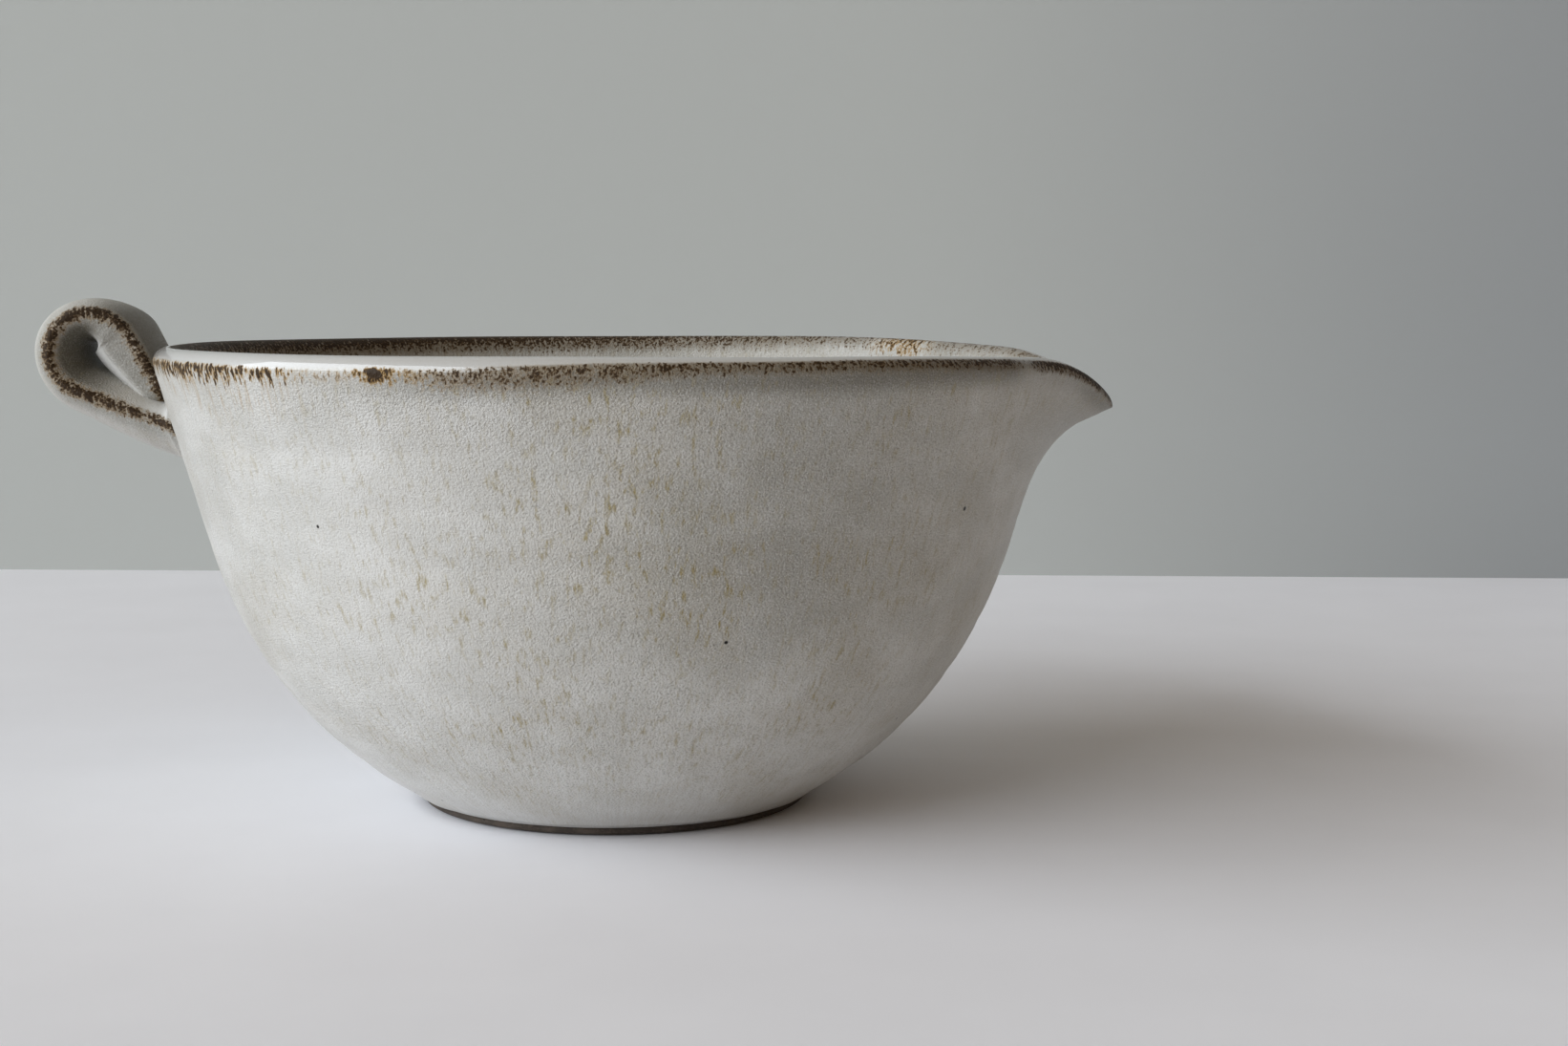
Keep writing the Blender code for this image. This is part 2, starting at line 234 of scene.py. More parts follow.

# The same inside the rim, where it is also painted shade: stronger and darker on the back and left, where the
# inner wall lies in shade
INNER_BREAK_AND_SHADE = (
    (-180, 0.9, 0.2, 1.2, 0.45), (-90, 0.8, 0.2, 1.2, 0.4), (-20, 0.7, 0.2, 1.2, 0.35),
    (20, 0.40, 0.2, 1.0, 0.3), (36, 0.42, 0.2, 0.8, 0.3), (44, 0.50, 0.6, 0.8, 0.15),
    (52, 0.46, 0.2, 0.8, 0.06), (70, 0.56, 0.15, 0.8, 0.08), (95, 0.84, 0.15, 0.8, 0.15),
    (130, 1.05, 0.1, 0.8, 0.4), (180, 0.9, 0.2, 1.2, 0.45),
)


def plain(name, description, default, **kind):
    """A number, with a unit or subtype where one fits."""
    return FloatProperty(name=name, description=description, default=default, **kind)


def length(name, description, default):
    """A size in metres."""
    return plain(name, description, default, unit="LENGTH", precision=5)


def angle(name, description, degrees):
    """An angle, written in degrees and kept in radians."""
    return plain(name, description, math.radians(degrees), subtype="ANGLE")


def share(name, description, default):
    """A plain factor."""
    return plain(name, description, default, subtype="FACTOR", soft_max=1.0)


def colour(name, description, default):
    """A linear colour."""
    return FloatVectorProperty(name=name, description=description, default=default, subtype="COLOR",
                               size=3, min=0.0, max=1.0)


class BowlSizes(bpy.types.PropertyGroup):
    """Sizes of the thrown bowl and its spout."""

    rim_radius: length("Rim radius", "Outside of the rim", RIM_RADIUS)
    rim_height: length("Rim height", "Top of the rim over the table", RIM_HEIGHT)
    wall_thickness: length("Wall thickness", "Upper wall and lip", 0.0042)
    wall_flare: angle("Wall flare", "Lean of the upper wall", 16.0)
    belly_height: length("Belly height", "Where the straight wall turns into the belly", 0.0400)
    belly_fullness: share("Belly fullness", "Pull of the belly's curve at both ends", 0.35)
    foot_splay: angle("Foot splay", "Rise of the belly where it leaves the foot", 28.0)
    glaze_line: length("Glaze line", "Height of the glaze's lower edge", 0.00155)
    edge_overhang: length("Edge overhang", "How far the glaze stands out past the foot", 0.0010)
    seat_gap: length("Seat gap", "Clearance round the foot", 0.0003)
    floor_thickness: length("Floor thickness", "Clay under the hollow", 0.0050)
    hollow_wall_fullness: share("Hollow wall fullness", "Pull of the hollow's curve at the wall", 0.42)
    hollow_floor_fullness: share("Hollow floor fullness", "Pull of the hollow's curve at the floor", 0.60)
    spout_drop: length("Spout drop", "How far the spout's lip is drawn down", 0.0060)
    spout_depth: length("Spout depth", "Height of the wall that the spout is pulled from", 0.0230)
    spout_half_angle: angle("Spout half angle", "Half of the spout's width", 27.0)
    reach_curl: plain("Reach curl", "Power at which the spout's reach grows up the wall", 2.6)
    drop_curl: plain("Drop curl", "Power at which the spout's drop grows up the wall", 2.1)
    drop_sharpness: plain("Drop sharpness", "Power that narrows the spout's drop", 1.9)
    shoulder_dip: length("Shoulder dip", "Dip of the rim beside the spout", 0.0012)
    shoulder_half_angle: angle("Shoulder half angle", "Half of the dip's width", 60.0)
    ring_pitch: length("Ring pitch", "Climb of the throwing spiral in one turn", 0.0076)
    ring_depth_outside: length("Ring depth outside", "Height of the throwing rings outside", 0.00007)
    ring_depth_inside: length("Ring depth inside", "Height of the throwing rings inside", 0.00030)
    rim_wander: length("Rim wander", "Uneven height of the rim", 0.00025)
    handle_dip: length("Handle dip", "How far the handle weighed the rim down", 0.0006)
    handle_dip_half: angle("Handle dip half", "Half of that dip's width", 105.0)
    round_wander: length("Round wander", "How far the rim is out of round", 0.00025)
    glaze_roll: length("Glaze roll", "Thickening of the glaze at its lower edge", 0.00025)
    mark_depth: length("Mark depth", "Depth of the finger marks near the foot", 0.00022)
    spout_bead: length("Spout bead", "Glaze gathered under the spout's lip", 0.00045)
    bead_place: length("Bead place", "How far below the lip's top that glaze gathered", 0.0058)
    bead_half: length("Bead half", "Half of its height", 0.0030)


class FootSizes(bpy.types.PropertyGroup):
    """Sizes of the bare foot."""

    radius: length("Radius", "Outside of the foot", FOOT_RADIUS + FOOT_PROUD)
    width: length("Width", "Width of the ring", 0.0055)
    height: length("Height", "Height of the ring", FOOT_HIGH.z)
    rounding: length("Rounding", "Rounded corners of the ring", 0.0006)
    web: length("Web", "Bare clay of the base inside the ring", 0.0007)
    groove_depth: length("Groove depth", "Turning lines under the base", 0.00010)
    groove_pitch: length("Groove pitch", "Distance between turning lines", 0.0016)


class HandleSizes(bpy.types.PropertyGroup):
    """Sizes of the strap handle."""

    loop_radius: length("Loop radius", "Middle of the strap's edge round the loop", 0.0060)
    loop_left: length("Loop left", "Furthest reach of the loop", STRAP_LEFT)
    loop_drop: length("Loop drop", "How far the loop's middle lies under the rim", 0.0014)
    tail_height: length("Tail height", "Where the thin end runs out on the wall", 0.0602)
    root_height: length("Root height", "Where the thick end meets the wall", 0.0570)
    tail_width: length("Tail width", "Width of the thin end", 0.0150)
    root_width: length("Root width", "Width of the thick end", 0.0225)
    tail_crown: length("Tail crown", "Swell of the outer face at the thin end", 0.0011)
    back_crown: length("Back crown", "Swell of the outer face round the loop", 0.0042)
    root_crown: length("Root crown", "Swell of the outer face at the thick end", 0.0068)
    arm_fill: length("Arm fill", "Swell of the upper arm's inner face, which all but closes the loop", 0.0074)
    loop_fill: length("Loop fill", "Swell of the inner face round the loop", 0.0038)
    tail_fill: length("Tail fill", "Clay that fills the corner under the tail", 0.0045)
    root_fill: length("Root fill", "Swell of the inner face at the root", 0.0034)
    root_length: length("Root length", "Length in which the strap turns into its root", 0.0160)
    root_flare: length("Root flare", "Rounding where the root meets the wall", 0.0020)
    tail_round: length("Tail round", "Length in which the tail's tip is rounded off", 0.0028)
    sink: length("Sink", "How far the root reaches into the wall", 0.0022)


class GlazeLook(bpy.types.PropertyGroup):
    """Colours of the glaze and of the bare clay."""

    white: colour("White", "Thick glaze", (0.650, 0.644, 0.618))
    grey: colour("Grey", "Thin glaze", (0.520, 0.512, 0.480))
    # Besides thinner and thicker glaze, olive lays painted shade and crystal painted light through
    # thin_and_painted_light
    olive: colour("Olive", "Thinnest glaze, dark with the clay under it", (0.135, 0.125, 0.100))
    warm: colour("Warm", "Glaze through which iron shows", (0.480, 0.440, 0.370))
    crystal: colour("Crystal", "Pale grains in the glaze", (0.780, 0.778, 0.760))
    pit: colour("Pit", "Fine dark grain between the crystals", (0.270, 0.255, 0.225))
    ochre: colour("Ochre", "Iron that bleeds through", (0.325, 0.258, 0.100))
    gold: colour("Gold", "Fringe of the dabs along a broken edge", (0.360, 0.205, 0.042))
    haze: colour("Haze", "Glaze between the dots of a closed break", (0.136, 0.112, 0.078))
    brown: colour("Brown", "Glaze broken thin over an edge", (0.104, 0.054, 0.014))
    core: colour("Core", "Darkest specks of the broken edge", (0.024, 0.012, 0.004))
    lip: colour("Lip", "Thin glaze over the lip", (0.540, 0.535, 0.520))
    iron: colour("Iron", "Iron specks", (0.012, 0.010, 0.009))
    clay: colour("Clay", "Bare clay of the foot", (0.045, 0.034, 0.026))
    clay_pale: colour("Pale clay", "Worn high spots of the foot", (0.120, 0.092, 0.070))


class StageLook(bpy.types.PropertyGroup):
    """Camera, lights and backdrop."""

    camera_right: length("Camera right", "Camera's place along X from the bowl's axis", 0.0258)
    camera_back: length("Camera back", "Camera's distance in front of the bowl's axis", 0.3467)
    camera_height: length("Camera height", "Camera's height over the table", 0.0775)
    camera_dip: angle("Camera dip", "How far the camera looks down", 5.89)
    camera_roll: angle("Camera roll", "Turn of the camera about its own axis", 0.33)
    lens: plain("Lens", "Focal length in millimetres", 52.27, unit="CAMERA")
    sensor: plain("Sensor", "Sensor width in millimetres", 36.0, unit="CAMERA")
    window_place: FloatVectorProperty(name="Window place", description="Middle of the soft key light", size=3,
                                      default=(-5.30, -2.47, 2.90), subtype="XYZ_LENGTH", unit="LENGTH")
    window_power: plain("Window power", "Power of the soft key light", 603.0, unit="POWER")
    window_width: length("Window width", "Width of the soft key light", 9.45)
    window_tall: length("Window height", "Height of the soft key light", 4.32)
    window_colour: colour("Window colour", "Colour of the soft key light", (0.885, 0.945, 1.0))
    fill: plain("Fill", "Strength of the light from all round", 0.186)
    fill_colour: colour("Fill colour", "Colour of the light from all round", (1.0, 0.73, 0.44))
    haze_colour: colour("Haze colour", "What the camera sees past the backdrop", (0.480, 0.485, 0.490))
    floor_colour: colour("Floor colour", "Pale floor", (0.930, 0.930, 0.970))
    wall_colour: colour("Wall colour", "Plain backdrop", (0.515, 0.535, 0.518))
    wall_dim: colour("Dim wall colour", "Backdrop on the side away from the window", (0.345, 0.362, 0.372))
    wall_distance: length("Wall distance", "Backdrop's distance behind the bowl's axis", 0.271)
    wall_top: length("Wall top", "Backdrop's upper edge", 0.9)
    floor_reach: length("Floor reach", "Half of the floor's width", 1.6)
    floor_drop: length("Floor drop", "How far the floor lies under the foot", 0.0002)
    floor_shade: share("Floor shade", "Tone of the floor's darker clouds", 0.94)


def smooth(low, high, value):
    """Ease from 0 at low to 1 at high with level ends."""
    part = np.clip((value - low) / (high - low), 0.0, 1.0)
    return part * part * (3.0 - 2.0 * part)


def span(value, start, full, last, gone):
    """0 up to start, 1 from full to last and 0 again from gone on, eased both ways."""
    return smooth(start, full, value) * smooth(gone, last, value)


def blend(first, second, part):
    """first where part is 0 and second where it is 1."""
    return first + (second - first) * part


def bell(value, half):
    """1 in the middle, easing to 0 at half on either side: (1 - (value / half)^2)^2."""
    return np.clip(1.0 - (value / half) ** 2, 0.0, None) ** 2


def waves(turn, table):
    """Sum of sines of whole multiples of an angle, so that it closes after one turn."""
    return sum(part * np.sin(multiple * turn + phase) for multiple, part, phase in table)


def full_turn(count):
    """Azimuths once round. The last is left out, because it is the first again."""
    return np.linspace(-math.pi, math.pi, count, endpoint=False)[None, :]


def turn_from(place, azimuth):
    """Angle from a place to an azimuth, the short way round."""
    return np.angle(np.exp(1j * (azimuth - place)))


def vectors(*parts):
    """Vectors made of their parts, each spread over the whole grid."""
    return np.stack(np.broadcast_arrays(*parts), axis=-1)


def turned(radius, azimuth, height):
    """Points at a radius and azimuth about the bowl's axis, at a height."""
    return vectors(AXIS_X + radius * np.cos(azimuth), radius * np.sin(azimuth), height)


def lay_line(start, end, count):
    """Points from start to end, the end left out."""
    t = np.linspace(0.0, 1.0, count, endpoint=False)[:, None]
    return (1.0 - t) * start + t * end


def lay_cubic(start, start_pull, end_pull, end, count):
    """Points on a cubic curve with weights (1-t)^3, 3(1-t)^2 t, 3(1-t) t^2 and t^3, the end left out."""
    t = np.linspace(0.0, 1.0, count, endpoint=False)[:, None]
    rest = 1.0 - t
    return rest ** 3 * start + 3 * rest ** 2 * t * start_pull + 3 * rest * t ** 2 * end_pull + t ** 3 * end


def lay_arc(centre, radius, start, end, count):
    """Points on a circle from one angle to another, both ends in."""
    turn = np.linspace(start, end, count)
    return centre + radius * vectors(np.cos(turn), np.sin(turn))


def run_length(points):
    """Distance along a line of points."""
    steps = np.linalg.norm(np.diff(points, axis=0), axis=1)
    return np.concatenate([[0.0], np.cumsum(steps)])


def wrap_faces(rows, columns):
    """Quads of a grid that is closed round its columns, and the triangles that close both ends at a pole.

    The grid's points come first, row by row, then the pole of the first row and the pole of the last.
    """
    row = np.arange(rows - 1)[:, None] * columns
    column = np.arange(columns)[None, :]
    beside = (column + 1) % columns
    quads = np.stack([row + column, row + columns + column, row + columns + beside, row + beside], axis=-1)
    first, last = rows * columns, rows * columns + 1
    end = (rows - 1) * columns
    column, beside = column[0], beside[0]
    near = np.stack([np.full(columns, first), column, beside], axis=-1)
    far = np.stack([np.full(columns, last), end + beside, end + column], axis=-1)
    return quads.reshape(-1, 4), np.concatenate([near, far])


def enclosed_volume(points, quads):
    """Signed volume of a closed grid: a sixth of the sum of each half quad's triple product."""
    a, b, c, d = (points[quads[:, i]] for i in range(4))
    halves = np.einsum("ij,ij->i", a, np.cross(b, c)) + np.einsum("ij,ij->i", a, np.cross(c, d))
    return halves.sum() / 6.0


def with_poles(values):
    """A grid's inner rows, laid out point by point, then the means of its first and last rows."""
    return np.concatenate([values[1:-1].reshape(-1, *values.shape[2:]), values[[0, -1]].mean(axis=1)])


def add_object(name, data):
    """A new object in the scene."""
    item = bpy.data.objects.new(name, data)
    bpy.context.collection.objects.link(item)
    return item


def make_piece(name, grid, attributes, material, slot, *nodes):
    """Turn a wrapped grid of points into a closed, smooth piece that rides on the part and replaces nodes.

    grid is rows by columns by 3, and its first and last rows shrink to the two poles. Each attribute is one
    value, or a vector, for each point of the grid.
    """
    points = with_poles(grid)
    quads, fans = wrap_faces(len(grid) - 2, grid.shape[1])
    if enclosed_volume(points, quads) < 0.0:
        quads, fans = quads[:, ::-1], fans[:, ::-1]
    mesh = bpy.data.meshes.new(name)
    mesh.from_pydata(points.tolist(), [], quads.tolist() + fans.tolist())
    for title, rows in attributes.items():
        values = with_poles(rows)
        kind, key = ("FLOAT", "value") if values.ndim == 1 else ("FLOAT_VECTOR", "vector")
        layer = mesh.attributes.new(title, kind, "POINT")
        layer.data.foreach_set(key, values.astype(np.float32).ravel())
    mesh.shade_smooth()
    mesh.materials.append(material)
    if mesh.validate():
        raise RuntimeError(f"{name} has faces that had to be mended")
    piece = add_object(name, mesh)
    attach(piece, BODY)
    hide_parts(*nodes)


def bowl_profile(bowl):
    """(radius, height) points up the inside, over the lip, down the outside and under the base.

    Hollow and belly are cubic curves, the upper wall is straight at its flare, the lip is half a circle and
    the glaze's lower edge a small arc. Also returns the rows of the lip's top and of the glaze's end.
    """
    up = np.array([math.sin(bowl.wall_flare), math.cos(bowl.wall_flare)])
    out = np.array([math.cos(bowl.wall_flare), -math.sin(bowl.wall_flare)])
    lip = bowl.wall_thickness / 2
    lip_centre = np.array([bowl.rim_radius - lip, bowl.rim_height - lip])
    inside, outside = lip_centre - lip * out, lip_centre + lip * out
    seat_radius = FOOT_RADIUS + bowl.seat_gap
    seat_height = FOOT_HIGH.z + bowl.seat_gap
    inner_belly = inside - up * (inside[1] - bowl.belly_height) / up[1]
    outer_belly = outside - up * (outside[1] - bowl.belly_height) / up[1]
    middle = np.array([0.0, seat_height + bowl.floor_thickness])
    edge = np.array([FOOT_RADIUS + bowl.edge_overhang, bowl.glaze_line])

    chord = np.linalg.norm(inner_belly - middle)
    hollow = lay_cubic(middle, middle + [chord * bowl.hollow_floor_fullness, 0.0],
                       inner_belly - up * chord * bowl.hollow_wall_fullness, inner_belly, HOLLOW_ROWS)
    chord = np.linalg.norm(outer_belly - edge)
    splay = np.array([math.cos(bowl.foot_splay), math.sin(bowl.foot_splay)])
    belly = lay_cubic(outer_belly, outer_belly - up * chord * bowl.belly_fullness,
                      edge + splay * chord * bowl.belly_fullness, edge, BELLY_ROWS)
    roll = 0.5 * (edge[0] - seat_radius)
    sections = (
        hollow,
        lay_line(inner_belly, inside, WALL_ROWS),
        lay_arc(lip_centre, lip, math.pi - bowl.wall_flare, -bowl.wall_flare, LIP_ROWS)[:-1],
        lay_line(outside, outer_belly, WALL_ROWS),
        belly,
        lay_arc(edge + [-roll, 0.0], roll, 0.0, -math.pi, EDGE_ROWS),
        lay_line((seat_radius, bowl.glaze_line), (seat_radius, seat_height), 3)[1:],
        lay_line((seat_radius, seat_height), (0.0, seat_height), 5),
    )
    profile = np.concatenate(sections)
    ends = np.cumsum([len(part) for part in sections])
    return profile, ends[1] + LIP_ROWS // 2, ends[4]


def finger_marks(azimuth, height, bowl):
    """Soft dents that the glazer's fingers left above the foot: a bell across times a bell up, slanted."""
    marks = np.zeros(np.broadcast(azimuth, height).shape)
    for number in range(MARK_COUNT):
        drift, rise, tilt, press = (math.sin(beat * number) for beat in MARK_BEATS)
        place = -math.pi + 2 * math.pi * (number + MARK_DRIFT * drift) / MARK_COUNT
        across = turn_from(place, azimuth) * FOOT_RADIUS
        climb = height - (MARK_HEIGHT + MARK_SPREAD * rise)
        slant = across - climb * tilt
        depth = 0.6 + 0.4 * press
        marks += depth * bell(slant, MARK_HALF_WIDTH) * bell(climb, MARK_HALF_HEIGHT)
    return bowl.mark_depth * marks


def bowl_surface(bowl):
    """The bowl as a function of profile row and azimuth.

    The turned profile is pushed along its own normal by the throwing spiral, sines of 2 pi height / pitch
    minus the azimuth, and by the rolled glaze edge, the finger marks and the bead under the spout's lip. Then
    the rim wanders and sags beside the handle, and the spout is pulled: the wall moves out by
    reach * bell(azimuth) * rise^curl and down by drop * bell(azimuth)^sharpness * rise^curl.
    """
    profile, lip_row, edge_row = bowl_profile(bowl)
    azimuth = full_turn(TURN_COLUMNS)
    radius, height = profile[:, :1], profile[:, 1:]
    slope = np.gradient(profile, axis=0)
    slope /= np.linalg.norm(slope, axis=1, keepdims=True)
    fall = run_length(profile)
    fall = (fall - fall[lip_row])[:, None]
    edge_fall = fall[edge_row]

    glazed = np.arange(len(profile))[:, None] <= edge_row
    outside = (fall > 0.0) & glazed
    body = smooth(*RING_START, np.abs(fall)) * glazed
    settle = np.where(outside, smooth(0.0, RING_FOOT, edge_fall - fall), smooth(0.0, RING_FLOOR, radius))
    depth = np.where(fall < 0.0, bowl.ring_depth_inside, bowl.ring_depth_outside)
    turn = 2 * math.pi * height / bowl.ring_pitch - azimuth
    uneven = 0.65 + 0.35 * np.sin(2 * azimuth + 90.0 * height)
    lift = depth * body * settle * waves(turn, RING_WAVES) * uneven
    roll = bell(edge_fall - fall, ROLL_HEIGHT) * outside
    lift = lift + bowl.glaze_roll * roll
    lift = lift - finger_marks(azimuth, height, bowl) * outside * smooth(0.0002, 0.003, edge_fall - fall)
    bead = bell(azimuth, bowl.spout_half_angle) * bell(fall - bowl.bead_place, bowl.bead_half)
    lift = lift + bowl.spout_bead * bead * outside

    r = radius - slope[:, 1:] * lift
    z = height + slope[:, :1] * lift
    z = z + 0.5 * bowl.glaze_roll * waves(azimuth, GLAZE_EDGE_WAVES) * roll
    high = smooth(WANDER_START, 1.0, z / bowl.rim_height)
    away = math.pi - np.abs(azimuth)
    sag = bowl.handle_dip * bell(away, bowl.handle_dip_half)
    z = z + (bowl.rim_wander * waves(azimuth, RIM_WAVES) - sag) * high
    r = r + bowl.round_wander * waves(azimuth, ROUND_WAVES) * high

    lip_centre_height = bowl.rim_height - bowl.wall_thickness / 2
    reach = BOWL_HIGH.x - AXIS_X - bowl.rim_radius
    rise = np.clip((z - lip_centre_height + bowl.spout_depth) / bowl.spout_depth, 0.0, 1.0)
    pull = bell(azimuth, bowl.spout_half_angle)
    r = r + reach * pull * rise ** bowl.reach_curl
    dip = bowl.shoulder_dip * bell(azimuth, bowl.shoulder_half_angle)
    z = z - (bowl.spout_drop * pull ** bowl.drop_sharpness + dip) * rise ** bowl.drop_curl
    return turned(r, azimuth, z), fall, azimuth


def rim_break(azimuth, table):
    """Strength, share of loose dabs, start and thinness of the glaze's break round the rim, from a table."""
    degrees, *columns = np.array(table, float).T
    return [np.interp(np.degrees(azimuth), degrees, column) for column in columns]


def glaze_patch(azimuth, down, amount, place, half, reach):
    """A patch that fades out round and down the wall: amount * bell(azimuth - place) * an eased span."""
    across = turn_from(math.radians(place), azimuth)
    return amount * bell(across, math.radians(half)) * span(down, *reach)


def make_bowl(bowl, material):
    """Bowl piece with the attributes that its glaze reads.

    flow is the rim's circle across, on the hollow's floor the true circle, and the distance from the lip's
    top down. edge is the distance past the place where the glaze breaks, and the strength and share of loose
    dabs there. thin_and_painted_light is how thinly the glaze lies, below zero where it is thick, and it also
    carries painted light on the window side and painted shade on the front right, under the spout's tip and
    inside the rim. iron is the share of iron that bleeds through.
    """
    grid, fall, azimuth = bowl_surface(bowl)
    fall = MM * fall
    across = MM * np.hypot(grid[..., 0] - AXIS_X, grid[..., 1])
    across = blend(across, MM * bowl.rim_radius, smooth(FLOW_TRUE, FLOW_RIM, -fall))
    flow = vectors(across * np.cos(azimuth), across * np.sin(azimuth), fall)

    tables = zip(rim_break(azimuth, OUTER_BREAK), rim_break(azimuth, INNER_BREAK_AND_SHADE))
    strength, loose, begin, thin_and_painted_light = (np.where(fall > 0.0, outer, inner) for outer, inner in tables)
    past = np.abs(fall) - begin
    wide = np.where(fall < 0.0, INNER_STRETCH, 1.0 + glaze_patch(azimuth, past, *WIDE_PATCH))
    edge = vectors(np.where(past > 0.0, past / wide, past), strength, loose)
    # Outside the rim this is thinner glaze past the break; inside it is painted shade as well
    thin_and_painted_light = thin_and_painted_light * np.where(fall > 0.0, span(past, *RIM_SPAN), span(-fall, *HOLLOW_SPAN))
    # Painted light on the window side, and painted shade on the front right and under the spout's tip
    thin_and_painted_light = thin_and_painted_light + sum(glaze_patch(azimuth, fall, *patch) for patch in PAINTED_LIGHT_PATCHES)
    iron = IRON_ELSEWHERE + glaze_patch(azimuth, fall, *IRON_PATCH)

    attributes = {"flow": flow, "edge": edge, "thin_and_painted_light": thin_and_painted_light, "iron": iron}
    make_piece("thrown_bowl_glazed", grid, attributes, material, "bowl_glaze", "thrown_bowl")


def foot_profile(foot):
    """(radius, height) points over the foot's seat, down the outside, round the ring and under the base.

    Also returns the row where the ring ends and the recess begins.
    """
    inner = foot.radius - foot.width
    top = (foot.radius, foot.height)
    recess = np.array([inner - foot.rounding, foot.height - foot.web])
    quarter = math.pi / 2
    ring = np.concatenate([
        lay_line((0.0, foot.height), top, 6),
        lay_line(top, (foot.radius, foot.rounding), 8),
        lay_arc((foot.radius - foot.rounding, foot.rounding), foot.rounding, 0.0, -quarter, 8),
        lay_arc((inner + foot.rounding, foot.rounding), foot.rounding, -quarter, -math.pi, 8),
    ])
    base = np.concatenate([
        lay_line((inner, foot.rounding), recess + [foot.rounding, -foot.rounding], 5)[1:],
        lay_arc(recess + [0.0, -foot.rounding], foot.rounding, 0.0, quarter, 6),
        lay_line(recess, (0.0, recess[1]), RECESS_ROWS)[1:],
        [(0.0, recess[1])],
    ])
    return np.concatenate([ring, base]), len(ring)


def make_foot(foot, material):
    """Foot piece: the profile turned about the axis, with lines cos(2 pi radius / pitch) under the base."""
    profile, ring_end = foot_profile(foot)
    azimuth = full_turn(FOOT_COLUMNS)
    radius, height = profile[:, :1], profile[:, 1:]
    rows = np.arange(len(profile))[:, None]
    under = smooth(0.0, GROOVE_START, foot.radius - foot.width - radius) * (rows > ring_end)
    spiral = 2 * math.pi * radius / foot.groove_pitch - azimuth
    z = height - foot.groove_depth * under * (1.0 + np.cos(spiral)) * smooth(0.0, GROOVE_MIDDLE, radius)
    make_piece("turned_foot", turned(radius, azimuth, z), {}, material, "bare_clay", "foot_ring")


def wall_radius(bowl, height):
    """Radius of the outside of the straight upper wall at a height."""
    lip, flare = bowl.wall_thickness / 2, bowl.wall_flare
    top_radius = bowl.rim_radius - lip + lip * math.cos(flare)
    top_height = bowl.rim_height - lip - lip * math.sin(flare)
    return top_radius - (top_height - height) * math.tan(flare)


def strap_line(handle, bowl):
    """Edge line of the strap in the plane y = 0: a tail on the wall, a loop, and an arm back to the wall.

    Two straight runs touch the loop's circle. Each touching point lies at the direction from the circle's
    middle to the run's end, plus or minus acos(radius / distance). Points are evenly spaced along the line.
    Also returns each point's outward turn, its distance from the tail, and where loop and root begin.
    """
    centre = np.array([handle.loop_left - AXIS_X + handle.back_crown + handle.loop_radius,
                       bowl.rim_height - handle.loop_drop])
    tail = np.array([-wall_radius(bowl, handle.tail_height), handle.tail_height])
    root = np.array([-wall_radius(bowl, handle.root_height), handle.root_height])
    touch = []
    for end, side in ((tail, 1.0), (root, -1.0)):
        offset = end - centre
        reach = np.linalg.norm(offset)
        touch.append(math.atan2(offset[1], offset[0]) + side * math.acos(handle.loop_radius / reach))
    start, stop = touch[0], touch[1] + 2 * math.pi
    loop = lay_arc(centre, handle.loop_radius, start, stop, LOOP_POINTS)
    into = (root - loop[-1]) / np.linalg.norm(root - loop[-1])
    line = np.concatenate([lay_line(tail, loop[0], RUN_POINTS), loop,
                           lay_line(loop[-1], root, RUN_POINTS)[1:], [root, root + into * handle.sink]])
    turn = np.concatenate([np.full(RUN_POINTS, start), np.linspace(start, stop, LOOP_POINTS),
                           np.full(RUN_POINTS + 1, stop)])
    run = run_length(line)
    even = np.linspace(0.0, run[-1], STRAP_ROWS)
    points = vectors(np.interp(even, run, line[:, 0]), np.interp(even, run, line[:, 1]))
    return points, np.interp(even, run, turn), even, run[RUN_POINTS], run[-1] - handle.sink


